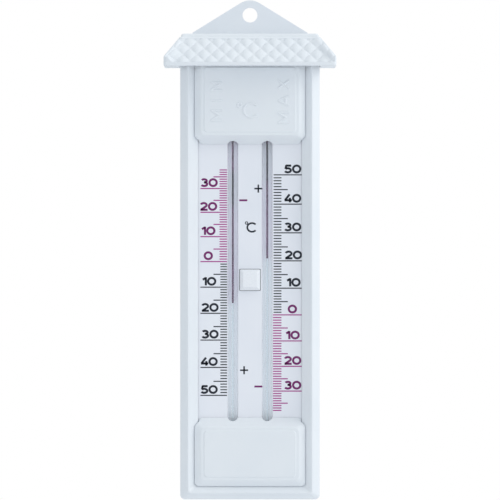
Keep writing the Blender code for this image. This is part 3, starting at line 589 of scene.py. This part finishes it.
# %% Roof
controls = np.concatenate([roof_rows(0), roof_rows(1)[::-1]])
roof_profile = soften(controls, np.array([0, 0, 0, 0.5, 0.7, 0.25, 0.25, 0.3, 0.3, 0, 0, 0]) * MM)
halves = np.split(roof_profile, 2)
halves[1] = halves[1][::-1]
stations = np.concatenate([[0], np.cumsum(np.linalg.norm(np.diff(halves[0], axis=0), axis=1))])
SPACING = 0.27 * MM  # between rows, fine enough for a tile's shape
edge_station = stations[len(halves[0]) // 2]  # rows get fine from the roof's upper edge down
wanted = np.union1d(stations, np.arange(edge_station, stations[-1], SPACING))
index = np.interp(wanted, stations, np.arange(len(stations)))
outer, inner = (
    roof_outlines(np.stack([np.interp(index, np.arange(len(rows)), k) for k in rows.T], 1))
    for rows in halves
)
outer = outer - outward(outer) * tiles(outer)[:, :, None]
count, across = outer.shape[:2]
roof_points = np.concatenate([outer, inner[::-1]])
step = np.arange(count - 1)
rungs = [
    np.stack([p * across + column for p in (step, step + 1, 2 * count - 2 - step, 2 * count - 1 - step)], 1)
    for column in (0, across - 1)
]
shell = (roof_points.reshape(-1, 3), np.concatenate([squares(2 * count, across), *rungs]))

# %% Soffit
SOFFIT = 1.5 * MM
SOFFIT_RAISE = 0.05 * MM  # so that its lower face and the fascia's foot don't coincide
opening = (0, half_body + GAP, ridge + GAP)
in_wall = (0, half_eaves - ROOF_WALL / 2, eaves_depth - ROOF_WALL / 2)
floor_top, floor_low = roof_bottom + SOFFIT, roof_bottom + SOFFIT_RAISE
floor_rows = [
    (*edge, z, z)
    for edge, z in ((opening, floor_top), (in_wall, floor_top), (in_wall, floor_low), (opening, floor_low))
]
floor_points = roof_outlines(np.array(floor_rows)).reshape(-1, 3)
floor_ends = np.arange(4)[None] * across + np.array([[0], [across - 1]])
soffit = (floor_points, np.concatenate([squares(4, across, ring_rows=True), floor_ends]))
make("tiled_roof", [shell, soffit], WHITE_ABS, "case", ["roof"])

# %% [markdown]
# ## The covers
# Two raised covers hide the bulbs above and the bend of the tube below. Each is a moulded tray: it plugs
# into the frame, laps over the inner slope, rises by a chamfer, and has a narrow border round its raised
# face. Its profile is carried round like the frame's, but the two ends move differently, so a row gives the
# half width and both ends. Round notches are then cut where the tubes run under the edge.

# %% Covers
COVER_WALL = 1.5 * MM
OVERLAP = 1.65 * MM
CHAMFER = 3.0 * MM
BORDER = 1.35 * MM
BORDER_STEP = 0.3 * MM
PAST_FACE = 1.0 * MM  # how far a cutter runs past the surface that it cuts
TUBE_RADIUS = 2.2 * MM
column_low, column_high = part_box("left_column")
tube_x = -(column_low.x + column_high.x) / 2
tube_depth = -(column_low.y + column_high.y) / 2
opening_half = half_body - side_rail
slope_rate = (ridge - slope_foot) / RAIL_SLOPE
slope_gap = GAP * math.hypot(1, slope_rate)


def make_cover(name, node, bevel):
    """A cover from rows of (half width, z at the rail end, z at the scale end, depth, corner radius)."""
    half, low, high, top = limits(node)
    way = 1 if node == "upper_cover" else -1
    rail, scale_end = (high, low) if way > 0 else (low, high)
    height = top - lip_depth
    plug, rail_plug = opening_half - GAP, rail - way * (OVERLAP + GAP)
    border = top - BORDER_STEP
    slant = COVER_WALL * math.hypot(height, bevel) / height
    middle = (rail + scale_end) / 2

    def edge(depth, inwards=0.0):
        """The scale end's place at a depth on the bevel."""
        return scale_end + way * (bevel * (depth - lip_depth) / height + inwards)

    shoulder = slope_foot - slope_rate * GAP + slope_gap
    lap = slope_foot + slope_rate * OVERLAP + slope_gap
    inner, step = CHAMFER + BORDER, BORDER + BORDER_STEP
    raised = half - CHAMFER - BORDER
    inside = plug - COVER_WALL
    rail_inside = rail_plug - way * COVER_WALL
    rows = [
        (0, middle, middle, top - COVER_WALL, 0),
        (inside, rail_inside, edge(top - COVER_WALL, slant), top - COVER_WALL, 0.8 * MM),
        (inside, rail_inside, edge(lip_depth, slant), lip_depth, 0.8 * MM),
        (plug, rail_plug, edge(lip_depth), lip_depth, 1.6 * MM),
        (plug, rail_plug, edge(shoulder), shoulder, 1.6 * MM),
        (half, rail, edge(lap), lap, 2.2 * MM),
        (half - CHAMFER, rail - way * CHAMFER, edge(border), border, 2.4 * MM),
        (raised, rail - way * inner, edge(border, BORDER), border, 1.7 * MM),
        (raised - BORDER_STEP, rail - way * (inner + BORDER_STEP), edge(border, step), top, 1.5 * MM),
        (0, middle, middle, top, 0),
    ]
    reach = np.array([0, 0.3, 0.1, 0.2, 0.2, 0.35, 0.5, 0.14, 0.16, 0]) * MM
    side, rail_z, scale_z, depth, radius = soften(rows, reach, hold=0.15 * MM).T
    loops = rounded_loops(side, np.minimum(rail_z, scale_z), np.maximum(rail_z, scale_z), radius, depth)
    cover = make(name, [solid(loops)], WHITE_ABS, "case", [node])
    ends = sorted([scale_end - way * PAST_FACE, scale_end + way * (bevel + 2 * slant)])
    notches = [along_tube([(x, z) for z in ends], TUBE_RADIUS + GAP, 32) for x in (-tube_x, tube_x)]
    cut(cover, sum(notches, []))


make_cover("bulb_cover", "upper_cover", 4.2 * MM)
make_cover("bend_cover", "lower_cover", 4.9 * MM)

# %% [markdown]
# ## The scale plate
# The plate is extruded with a round channel behind each limb of the tube, and pierced by a square window for
# the button. Each slice across it is a rectangle whose front and back follow the two channels' circles,
# so smooth channels cost only a few dozen slices. The window is cut afterwards.

# %% Scale plate
PLATE_THICKNESS = 1.5 * MM
CHANNEL_RADIUS = TUBE_RADIUS + GAP
CHANNEL_WALL = 0.8 * MM
BUTTON_CLEARANCE = 0.22 * MM
CUT_BEHIND = 6.0 * MM  # how far the window's cutter reaches behind the plate's face
SHEER = 0.004 * MM  # the run of a wall that stands square to the plate

sweep = CHANNEL_RADIUS * np.cos(np.linspace(math.pi, 0, 33))
rear_radius = CHANNEL_RADIUS + CHANNEL_WALL
kink = math.sqrt(rear_radius**2 - (tube_depth - scale_depth + PLATE_THICKNESS) ** 2)
near = np.concatenate([[-kink, -CHANNEL_RADIUS - SHEER], sweep, [CHANNEL_RADIUS + SHEER, kink]])
slices = np.concatenate([[-scale_half], near - tube_x, near + tube_x, [scale_half]])
off = np.abs(np.abs(slices) - tube_x)
channel = tube_depth - np.sqrt(np.maximum(CHANNEL_RADIUS**2 - off**2, 0))
front = np.where(off <= CHANNEL_RADIUS + SHEER / 2, channel, scale_depth)
rear = tube_depth - np.sqrt(np.maximum(rear_radius**2 - off**2, 0))
plain_back = scale_depth - PLATE_THICKNESS
back = np.where(off < kink, np.minimum(rear, plain_back), plain_back)
edges = ((front, scale_top), (front, scale_bottom), (back, scale_bottom), (back, scale_top))
plate_loops = [np.stack([slices, -depth, np.full_like(slices, z)], 1) for depth, z in edges]
board = [solid(np.stack(plate_loops, 1))]
plate = make("scale_board", board, SCALE_BOARD, "case", ["scale_plate"])
button_low, button_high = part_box("reset_button")
button_half = button_high.x
window = rounded_loops(
    [button_half + BUTTON_CLEARANCE] * 2,
    button_low.z - BUTTON_CLEARANCE,
    button_high.z + BUTTON_CLEARANCE,
    0.5 * MM,
    [scale_depth - CUT_BEHIND, scale_depth + PAST_FACE],
    steps=4,
)
cut(plate, [solid(window)])

# %% [markdown]
# ## The print
# The two scales are screen printed, with cold degrees in magenta and warm ones in navy. The left scale
# runs downwards and reads the minimum, the right one upwards for the maximum. A degree's height follows a
# slightly curved rule, because the bore isn't quite even. An image could show the ink, but here it is a real
# film: every mark is a thin solid. The digits are strokes on a unit box, of lines and parts of ellipses.


# %% Ink
def ink(name, code):
    """Screen printing ink: matt, with a faintly uneven film."""
    made, tree, shader = new_finish(name, code, 0.55)
    place = add_node(tree, "ShaderNodeTexCoord")
    values = {"Scale": 1 / (0.5 * MM), "Detail": 2.0}
    film = add_node(tree, "ShaderNodeTexNoise", values, [("Vector", place, "Object")])
    values = {"Strength": 0.3, "Distance": 0.01 * MM}
    bump = add_node(tree, "ShaderNodeBump", values, [("Height", film, 0)])
    tree.links.new(bump.outputs[0], shader.inputs["Normal"])
    return made


NAVY_INK = ink("navy_screen_ink", "0B1526")
MAGENTA_INK = ink("magenta_screen_ink", "740C64")
PINK_INK = ink("thin_magenta_screen_ink", "A81088")

# %% Strokes
INK_FILM = 0.03 * MM
INK_SUNK = 0.01 * MM


def arc(x, y, wide, tall, start, stop, count=28):
    """Part of an ellipse from one angle to another, in degrees: (x + wide cos a, y + tall sin a)."""
    angle = np.radians(np.linspace(start, stop, count))
    return np.stack([x + wide * np.cos(angle), y + tall * np.sin(angle)], 1)


def bar(x0, y0, x1, y1):
    """A straight stroke."""
    return np.array([(x0, y0), ((x0 + x1) / 2, (y0 + y1) / 2), (x1, y1)], float)


def ring(x, y, wide, tall, count=40):
    """A whole ellipse, without its last point."""
    return arc(x, y, wide, tall, 0, 360 * (1 - 1 / count), count)


# each glyph: its width, then its strokes, in units of the capital height
NECK = np.concatenate([arc(0.45, 0.665, 0.35, 0.245, 165, -38), bar(0.66, 0.46, 0.12, 0.10)[1:]])
HOOK = arc(0.44, 0.335, 0.37, 0.245, 138, -155)
POINT = [bar(0.09, 0.97, 0.55, 0.25), bar(0.55, 0.25, 1.01, 0.97)]
GLYPHS = {
    "0": (1.06, [ring(0.53, 0.5, 0.44, 0.41)]),
    "1": (0.56, [bar(0.44, 0, 0.44, 1), bar(0.44, 0.92, 0.06, 0.70)]),
    "2": (0.94, [NECK, bar(0.04, 0.09, 0.92, 0.09)]),
    "3": (0.94, [arc(0.44, 0.725, 0.31, 0.185, 155, -95), arc(0.44, 0.315, 0.36, 0.225, 95, -155)]),
    "4": (0.94, [bar(0.66, 0.98, 0.10, 0.27), bar(0.04, 0.26, 0.94, 0.26), bar(0.70, 0.56, 0.70, 0)]),
    "5": (0.94, [bar(0.20, 0.91, 0.86, 0.91), bar(0.26, 0.95, 0.16, 0.50), HOOK]),
    "C": (1.00, [arc(0.50, 0.5, 0.47, 0.43, 42, 318)]),
    "+": (0.80, [bar(0.02, 0.5, 0.78, 0.5), bar(0.40, 0.12, 0.40, 0.88)]),
    "-": (0.80, [bar(0.02, 0.5, 0.78, 0.5)]),
    "o": (0.34, [ring(0.17, 0.83, 0.12, 0.12, 24)]),
    "M": (1.10, [bar(0.09, 0, 0.09, 1), *POINT, bar(1.01, 1, 1.01, 0)]),
    "I": (0.20, [bar(0.10, 0, 0.10, 1)]),
    "N": (0.86, [bar(0.09, 0, 0.09, 1), bar(0.11, 0.97, 0.75, 0.03), bar(0.77, 0, 0.77, 1)]),
    "A": (0.98, [bar(0.06, 0, 0.49, 0.98), bar(0.49, 0.98, 0.92, 0), bar(0.20, 0.30, 0.78, 0.30)]),
    "X": (0.90, [bar(0.08, 0, 0.82, 1), bar(0.08, 1, 0.82, 0)]),
}
RINGS = "0o"


def write(
    text, x, z, height, thick, film=INK_FILM, depth=scale_depth, spacing=0.06, turned=False, dome=False
):
    """Strokes for a word centred at x, with its foot at z, or reading upwards and centred there.

    A stroke is a flat or domed section, `thick` wide, carried along its path.
    """
    widths = [GLYPHS[letter][0] for letter in text]
    starts = np.cumsum([0] + [w + spacing for w in widths[:-1]])
    middle = (starts[-1] + widths[-1]) / 2
    half = thick / 2
    foot = [(-half, -INK_SUNK), (half, -INK_SUNK)]
    if dome:
        section = foot + [(0.6 * half, 0.8 * film), (0, film), (-0.6 * half, 0.8 * film)]
    else:
        section = foot + [(half, film), (-half, film)]
    sheets = []
    for letter, start in zip(text, starts):
        for stroke in GLYPHS[letter][1]:
            along, up = (stroke[:, 0] + start - middle) * height, stroke[:, 1] * height
            track = (x + height / 2 - up, z + along) if turned else (x + along, z + up)
            closed = letter in RINGS
            sheets.append(solid(carry(np.stack(track, 1), section, depth=depth, ring=closed), ring=closed))
    return sheets


# %% Scales
DIGIT_HEIGHT = 3.8 * MM
DIGIT_STROKE = 1.0 * MM
DIGIT_LIFT = 0.84 * MM  # from the long line up to a digit's foot
TICK = 0.5 * MM


def left_height(degrees):
    """z on the minimum scale, which runs downwards."""
    return (-115.58 - 1.1773 * degrees - 0.001393 * degrees**2) * MM


def right_height(degrees):
    """z on the maximum scale, which runs upwards."""
    return (-140.42 + 1.2293 * degrees + 0.001526 * degrees**2) * MM


def ticks(heights, inner, outer):
    """Thin slabs of ink between two places x, one for each height."""
    heights, inner, outer = np.broadcast_arrays(heights, inner, outer)
    x = np.stack([inner, outer, outer, inner] * 2, 1)
    z = np.stack([heights - TICK / 2] * 2 + [heights + TICK / 2] * 2, 1)
    z = np.concatenate([z, z], 1)
    y = np.broadcast_to(-scale_depth - np.repeat([-INK_SUNK, INK_FILM], 4), x.shape)
    points = np.stack([x, y, z], -1).reshape(-1, 3)
    box = np.array([(0, 1, 2, 3), (4, 5, 6, 7), (0, 1, 5, 4), (1, 2, 6, 5), (2, 3, 7, 6), (3, 0, 4, 7)])
    return points, (box[None] + 8 * np.arange(len(heights))[:, None, None]).reshape(-1, 4)


degrees = np.arange(-38, 51)
cold = degrees <= 0
longest, middling = degrees % 10 == 0, degrees % 5 == 0
left_reach = np.where(longest, 23.1, np.where(middling, 17.0, np.where(cold, 14.2, 13.8))) * MM
right_reach = np.where(longest, 24.1, np.where(middling, 17.6, 14.65)) * MM
left_inner = np.full(len(degrees), 10.7) * MM
right_inner = np.where(cold, 10.7, 11.0) * MM
FIGURE_PLACES = np.array([-19.1, 19.85])  # x of a label on each scale, and how far single ones stand off
FIGURE_SHIFTS = {-20: (-0.25, 0), -10: (-0.35, 0), 0: (-0.35, -0.1)}
FIGURE_SHIFTS |= {10: (0.05, 0.4), 20: (0.4, 0.35), 30: (0.4, 0)}
marks = {"cold": [], "warm": []}
figures = {"cold": [], "warm": []}
for name, chosen in (("cold", cold), ("warm", ~cold)):
    t = degrees[chosen]
    marks[name].append(ticks(left_height(t), -left_inner[chosen], -left_reach[chosen]))
    marks[name].append(ticks(right_height(t), right_inner[chosen], right_reach[chosen]))
    for t in degrees[chosen & longest]:
        label = str(abs(t))
        left_x, right_x = (FIGURE_PLACES + FIGURE_SHIFTS.get(int(t), (0, 0))) * MM
        for x, place in ((left_x, left_height(t)), (right_x, right_height(t))):
            foot = place + DIGIT_LIFT
            figures[name] += write(label, x, foot, DIGIT_HEIGHT, DIGIT_STROKE)
SIGN_HEIGHT = 4.9 * MM
SIGN_STROKE = 0.72 * MM
for name, sign, x, z in (
    ("warm", "+", 3.87, -84.0),
    ("warm", "+", -2.75, -168.65),
    ("cold", "-", -3.12, -89.45),
    ("cold", "-", 3.91, -176.25),
):
    stroke = SIGN_STROKE * (1.2 if sign == "-" else 1.0)
    figures[name] += write(sign, x * MM, z * MM, SIGN_HEIGHT, stroke)
figures["warm"] += write("C", 0.95 * MM, -102.0 * MM, 4.7 * MM, 0.8 * MM)
figures["warm"] += write("o", -1.6 * MM, -101.5 * MM, 4.7 * MM, 0.42 * MM)
for kind, drawn, inks in (
    ("degree_marks", marks, {"warm": NAVY_INK, "cold": PINK_INK}),
    ("figures", figures, {"warm": NAVY_INK, "cold": MAGENTA_INK}),
):
    for name in ("warm", "cold"):
        make(f"{name}_{kind}", drawn[name], inks[name], "case")

# %% [markdown]
# ## Raised lettering on the upper cover
# The cover carries a raised degree sign and two words that read upwards, seen only by their shading. They
# are the same strokes with a domed section.

# %% Relief
RELIEF = 0.42 * MM
WORD_X, WORD_Z, WORD_HEIGHT = 15.6 * MM, -41.2 * MM, 5.2 * MM
WORD_STROKE = 1.0 * MM
cover_depth = limits("upper_cover")[3]
relief = write("oC", -0.9 * MM, -49.0 * MM, 7.5 * MM, 1.1 * MM, RELIEF, cover_depth, dome=True)
for word, x, spacing in (("MIN", -WORD_X, 0.7), ("MAX", WORD_X, 0.5)):
    relief += write(word, x, WORD_Z, WORD_HEIGHT, WORD_STROKE, RELIEF, cover_depth, spacing, True, True)
make("cover_lettering", relief, WHITE_ABS, "case")

# %% [markdown]
# ## The glass
# The tube is drawn soda glass with a fine bore, bent once, with a measuring bulb blown on the left end and
# an expansion bulb with an open tip on the right. A circle is carried along the centre line twice: outside
# with the glass's radius, and back inside with the bore's. Light bends in it as in the real tube, which is
# why the bore looks wider than it is.


# %% Glass and liquid finishes
def clear_finish(name, code, ior, shade, roughness=0.0):
    """A see-through material: `code` tints what is seen through it, and `shade` tints its shadow.

    Shadow rays and diffuse rays go straight through, so that what lies behind is lit as behind real glass.
    """
    made, tree, shader = new_finish(name, code, roughness, IOR=ior)
    shader.inputs["Transmission Weight"].default_value = 1.0
    ray = add_node(tree, "ShaderNodeLightPath")
    passing = add_node(tree, "ShaderNodeBsdfTransparent", {"Color": colour(shade)})
    either = [(0, ray, "Is Shadow Ray"), (1, ray, "Is Diffuse Ray")]
    from_lamps = add_node(tree, "ShaderNodeMath", {}, either, operation="MAXIMUM")
    links = [("Fac", from_lamps, 0), (1, shader, 0), (2, passing, 0)]
    both = add_node(tree, "ShaderNodeMixShader", {}, links)
    tree.links.new(both.outputs[0], tree.nodes["Material Output"].inputs["Surface"])
    return made


SODA_GLASS = clear_finish("drawn_soda_glass", "FAFEFF", 1.515, "FFFFFF")
SPIRIT = clear_finish("plum_tinted_spirit", "724468", 1.36, "D8B8D4")
CLEAR_LIQUID = clear_finish("clear_filling_liquid", "FDFFFF", 1.40, "FFFFFF")

# %% Glass tube
BORE = 0.45 * MM
BULB = 3.7 * MM
EXPANSION = 3.0 * MM
BULB_WALL = 0.8 * MM
NECK_RUN = 3.0 * MM
TIP = 2.0 * MM
TIP_RUN = 18.0 * MM  # from the neck to the open tip
SEAM = 0.04 * MM  # what stays free between two lengths of liquid
neck = column_high.z + SEAM
glass_low, glass_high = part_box("glass_tube")
bend_z = glass_low.z + tube_x + TUBE_RADIUS
tip_z = neck + TIP_RUN


def bulb_end(x, top, blown, tube, opening, rows=14):
    """From the tip of a bulb down to the straight tube: (x, z) and radius.

    The end is part of a circle, z = top - r + r cos a, and the neck eases from the bulb to the tube.
    """
    angle = np.linspace(opening, math.pi / 2, rows)
    cap_z, cap_r = top - blown + blown * np.cos(angle), blown * np.sin(angle)
    share = np.linspace(0, 1, rows)
    neck_z, neck_r = neck + NECK_RUN * (1 - share), blown + (tube - blown) * ease(share)
    z = np.concatenate([cap_z, neck_z])
    return np.stack([np.full_like(z, x), z], 1), np.concatenate([cap_r, neck_r])


def limbs_and_bend(tube, rows=37):
    """The straight limbs and the half circle that joins them, at one radius."""
    angle = np.linspace(0, math.pi, rows)
    z = bend_z - tube_x * np.sin(angle)
    return np.stack([-tube_x * np.cos(angle), z], 1), np.full(rows, tube)


def tube_side(bulb, expansion, tube, top, end, opening):
    """One side of the glass, from the measuring bulb's end to the expansion bulb's tip."""
    left_path, left_radius = bulb_end(-tube_x, top, bulb, tube, 0.02)
    bend, bend_radius = limbs_and_bend(tube)
    right_path, right_radius = bulb_end(tube_x, end, expansion, tube, opening)
    path = np.concatenate([left_path, bend, right_path[::-1], [(tube_x, tip_z)]])
    radius = np.concatenate([left_radius, bend_radius, right_radius[::-1], right_radius[:1]])
    return path, radius


outside, outside_radius = tube_side(BULB, EXPANSION, TUBE_RADIUS, glass_high.z, tip_z - TIP, 0.32)
bore, bore_radius = tube_side(
    BULB - BULB_WALL, EXPANSION - BULB_WALL, BORE, glass_high.z - BULB_WALL, tip_z - TIP - 0.3 * MM, 0.17
)
GLASS_SIDES = 40
outer = carry(outside, circle(GLASS_SIDES), outside_radius, tube_depth)
inner = carry(bore, circle(GLASS_SIDES), bore_radius, tube_depth)[::-1]
glass = [solid(np.concatenate([outer, inner]))]
make("glass_u_tube", glass, SODA_GLASS, "case", ["glass_tube"], ROUND_CREASE)

# %% [markdown]
# ## The liquids
# Plum tinted spirit stands in both limbs and in the measuring bulb, a clear liquid fills the bend, and the
# boundary between them gives the reading. Each is a solid thread, a little thinner than the bore. A length
# between the case and a moving boundary belongs to no body, and its place is applied to its points.

# %% Liquids
COLUMN = 0.41 * MM


def thread(x, top, low, rows=60):
    """A thread of liquid in the bore: a circle carried straight down, in evenly spaced rows."""
    return along_tube(np.stack([np.full(rows, x), np.linspace(top, low, rows)], 1), COLUMN)


for side, body, x in (("left", "min_level", -tube_x), ("right", "max_level", tube_x)):
    low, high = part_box(f"{side}_column")
    name, column = f"{side}_spirit_column", thread(x, high.z, low.z)
    spirit = make(name, column, SPIRIT, None, [f"{side}_column"], ROUND_CREASE)
    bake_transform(spirit)
for reads, x in (("min", -tube_x), ("max", tube_x)):
    low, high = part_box(f"{reads}_meniscus")
    path = [(x, z) for z in (low.z, low.z + 0.2 * MM, high.z - 0.1 * MM, high.z)]
    drop = along_tube(path, np.array([1, 1, 1, 0.8]) * COLUMN)
    name, body, node = f"{reads}_liquid_edge", f"{reads}_level", f"{reads}_meniscus"
    make(name, drop, CLEAR_LIQUID, body, [node], ROUND_CREASE)
for side, body, x in (("left", "min_level", -tube_x), ("right", "max_level", tube_x)):
    reads = body[:3]
    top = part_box(f"{reads}_meniscus")[0].z - SEAM
    name, column = f"{side}_clear_liquid", thread(x, top, bend_z, rows=40)
    liquid = make(name, column, CLEAR_LIQUID, None, crease=ROUND_CREASE)
    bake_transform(liquid)
bend = along_tube(limbs_and_bend(BORE)[0] - [(0, SEAM)], COLUMN)
make("bend_clear_liquid", bend, CLEAR_LIQUID, "case", ["bend_liquid"], ROUND_CREASE)
spirit_path, spirit_radius = bulb_end(
    -tube_x, glass_high.z - BULB_WALL - GAP / 2, BULB - BULB_WALL - GAP / 2, 0.3 * MM, 0.02
)
filling = along_tube(spirit_path, spirit_radius)
make("measuring_bulb_spirit", filling, SPIRIT, "case", ["bulb_spirit"], ROUND_CREASE)

# %% [markdown]
# ## Index pins
# Each pin is a length of steel wire, coated dark blue and rounded at its ends. It stands in the spirit inside
# the bore, and a strip magnet behind the scale holds it where the liquid last pushed it.

# %% Pins
COATED_STEEL = new_finish("blue_coated_steel", "0A1240", 0.35, Metallic=0.1)[0]
PIN_SIDES = 16
PIN_TAPER = 0.5 * MM
for reads, x in (("min", -tube_x), ("max", tube_x)):
    low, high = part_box(f"{reads}_index")
    pin_radius = (high.y - low.y) / 2
    angle = np.linspace(0, math.pi / 2, 6)
    foot_z = low.z + PIN_TAPER * (1 - np.cos(angle))
    pin_z = np.concatenate([foot_z, (low.z + high.z - foot_z)[::-1]])
    pin_r = pin_radius * np.concatenate([np.sin(angle), np.sin(angle)[::-1]])
    path = np.stack([np.full_like(pin_z, x), pin_z], 1)
    pin = along_tube(path, pin_r, PIN_SIDES)
    name, body, node = f"{reads}_index_pin", f"{reads}_pin", f"{reads}_index"
    make(name, pin, COATED_STEEL, body, [node], ROUND_CREASE)

# %% [markdown]
# ## The reset button
# The button is a square cap with wide soft bevels, moulded in the same white plastic but polished. Its stem
# reaches back through the scale to the plate that carries the magnets.

# %% Button
BEVEL = 1.5 * MM
button_front, button_back = -button_low.y, -button_high.y
cap_rows = [
    (0, 0, button_back, 0),
    (button_half, 0, button_back, 0.5 * MM),
    (button_half, 0, button_front - BEVEL, 0.5 * MM),
    (button_half - BEVEL, BEVEL, button_front, 0.4 * MM),
    (0, 0, button_front, 0),
]
half, inset, depth, radius = soften(cap_rows, np.array([0, 0.2, 0.3, 0.25, 0]) * MM, hold=0.1 * MM).T
middle = (button_low.z + button_high.z) / 2
tall = (button_high.z - button_low.z) / 2 * half / button_half
cap = rounded_loops(half, middle - tall, middle + tall, radius, depth, steps=6)
make("square_reset_button", [solid(cap)], BUTTON_ABS, "button", ["reset_button"])

# %% [markdown]
# ## Inside the case
# Behind the scale the button drives a plate with two strip magnets, and four screws hold the back plate.
# They are out of sight and exact in CAD, so they stay, each with its own finish.


# %% Inner finishes
def metal(name, code, roughness, streak_mm):
    """Bare or plated steel, with a roughness that varies in fine streaks."""
    made, tree, shader = new_finish(name, code, roughness, Metallic=1.0)
    place = add_node(tree, "ShaderNodeTexCoord")
    values = {"Scale": 1 / (streak_mm * MM), "Detail": 3.0}
    streaks = add_node(tree, "ShaderNodeTexNoise", values, [("Vector", place, "Object")])
    values = {"To Min": roughness - 0.08, "To Max": roughness + 0.1}
    vary = add_node(tree, "ShaderNodeMapRange", values, [("Value", streaks, 0)])
    tree.links.new(vary.outputs[0], shader.inputs["Roughness"])
    return made


SPRING_STEEL = metal("drawn_spring_steel", "A9ABAE", 0.3, 0.6)
ZINC_STEEL = metal("zinc_plated_steel", "C3C6C4", 0.35, 0.8)
FERRITE = moulded("pressed_ferrite_strip", "2A2828", "232121", 0.68, 0.25, 1.0, 6.0)
FOAM = moulded("grey_foam", "7E8288", "6E7278", 0.92, 0.7, 3.0, 5.0)
for ending, finish in (("magnet_carrier", CARRIER_ABS), ("_magnet", FERRITE), ("_screw", ZINC_STEEL)):
    for node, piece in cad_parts.items():
        if node.endswith(ending):
            piece.data.materials.clear()
            piece.data.materials.append(finish)

# %% [markdown]
# ## Return springs
# Two springs of drawn wire push the plate and the button out again.

# %% Return springs
SPRING_WIRE = 0.4 * MM
SPRING_TURNS = 3.25


def coil(radius, z, rear, front, sides=10, steps_per_turn=32):
    """A round wire along a helix: (r cos a, y, z + r sin a), with y going evenly from rear to front."""
    angle = np.linspace(0, 2 * math.pi * SPRING_TURNS, round(SPRING_TURNS * steps_per_turn) + 1)
    out = np.stack([np.cos(angle), np.zeros_like(angle), np.sin(angle)], 1)
    middle = radius * out + np.stack([0 * angle, np.linspace(rear, front, len(angle)), 0 * angle + z], 1)
    section = circle(sides) * SPRING_WIRE / 2
    along_wall = section[None, :, :1] * out[:, None]
    return solid(middle[:, None] + along_wall + section[None, :, 1:] * np.array([0, 1, 0]))


for place in ("upper", "lower"):
    low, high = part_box(f"{place}_spring")
    radius = (high.x - low.x - SPRING_WIRE) / 2
    rear, front = high.y - SPRING_WIRE / 2, low.y + SPRING_WIRE / 2
    turns = [coil(radius, (low.z + high.z) / 2, rear, front)]
    name, node = f"{place}_return_spring", f"{place}_spring"
    spring = make(name, turns, SPRING_STEEL, "case", [node], ROUND_CREASE)
    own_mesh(spring)

# %% [markdown]
# ## Foam pads
# Two blocks of foam hold the glass against the plate. Foam bulges between the faces that press it, so each
# is a rounded block that is widest in the middle.

# %% Foam pads
PAD_EDGE = 0.9 * MM
PAD_BULGE = 0.2 * MM
for name in ("bulb_pad", "bend_pad"):
    low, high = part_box(name)
    half, front, rear = (high.x - low.x) / 2, -low.y, -high.y
    edge = min(PAD_EDGE, 0.3 * (front - rear))
    rows = [
        (0, 0, rear, 0),
        (half - PAD_BULGE, PAD_BULGE, rear, 1.0 * MM),
        (half, 0, (front + rear) / 2, 1.2 * MM),
        (half - PAD_BULGE, PAD_BULGE, front, 1.0 * MM),
        (0, 0, front, 0),
    ]
    side, inset, depth, radius = soften(rows, np.array([0, edge, 0.3 * MM, edge, 0])).T
    tall = (high.z - low.z) / 2 * side / half
    middle = (low.z + high.z) / 2
    block = rounded_loops(side, middle - tall, middle + tall, radius, depth)
    pad = make(f"foam_{name}", [solid(block)], FOAM, "case", [name])

# %% [markdown]
# ## Floor and finish
# The floor is a plain pale sheet, a little below the thermometer.

# %% Floor
FLOOR_Z = -0.31
floor_x, floor_y = np.meshgrid(np.linspace(-1.6, 1.6, 3), np.linspace(-1.9, 0.75, 3))
floor_points = np.stack([floor_x, floor_y, np.full_like(floor_x, FLOOR_Z)], -1)
floor_mesh = bpy.data.meshes.new("floor")
floor_mesh.from_pydata(floor_points.reshape(-1, 3).tolist(), [], squares(3, 3).tolist())
floor = add_object("floor", floor_mesh)
floor_mesh.materials.append(new_finish("matt_pale_floor", "F2F3F5", 0.9)[0])
floor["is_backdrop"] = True

# %% Size
low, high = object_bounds()
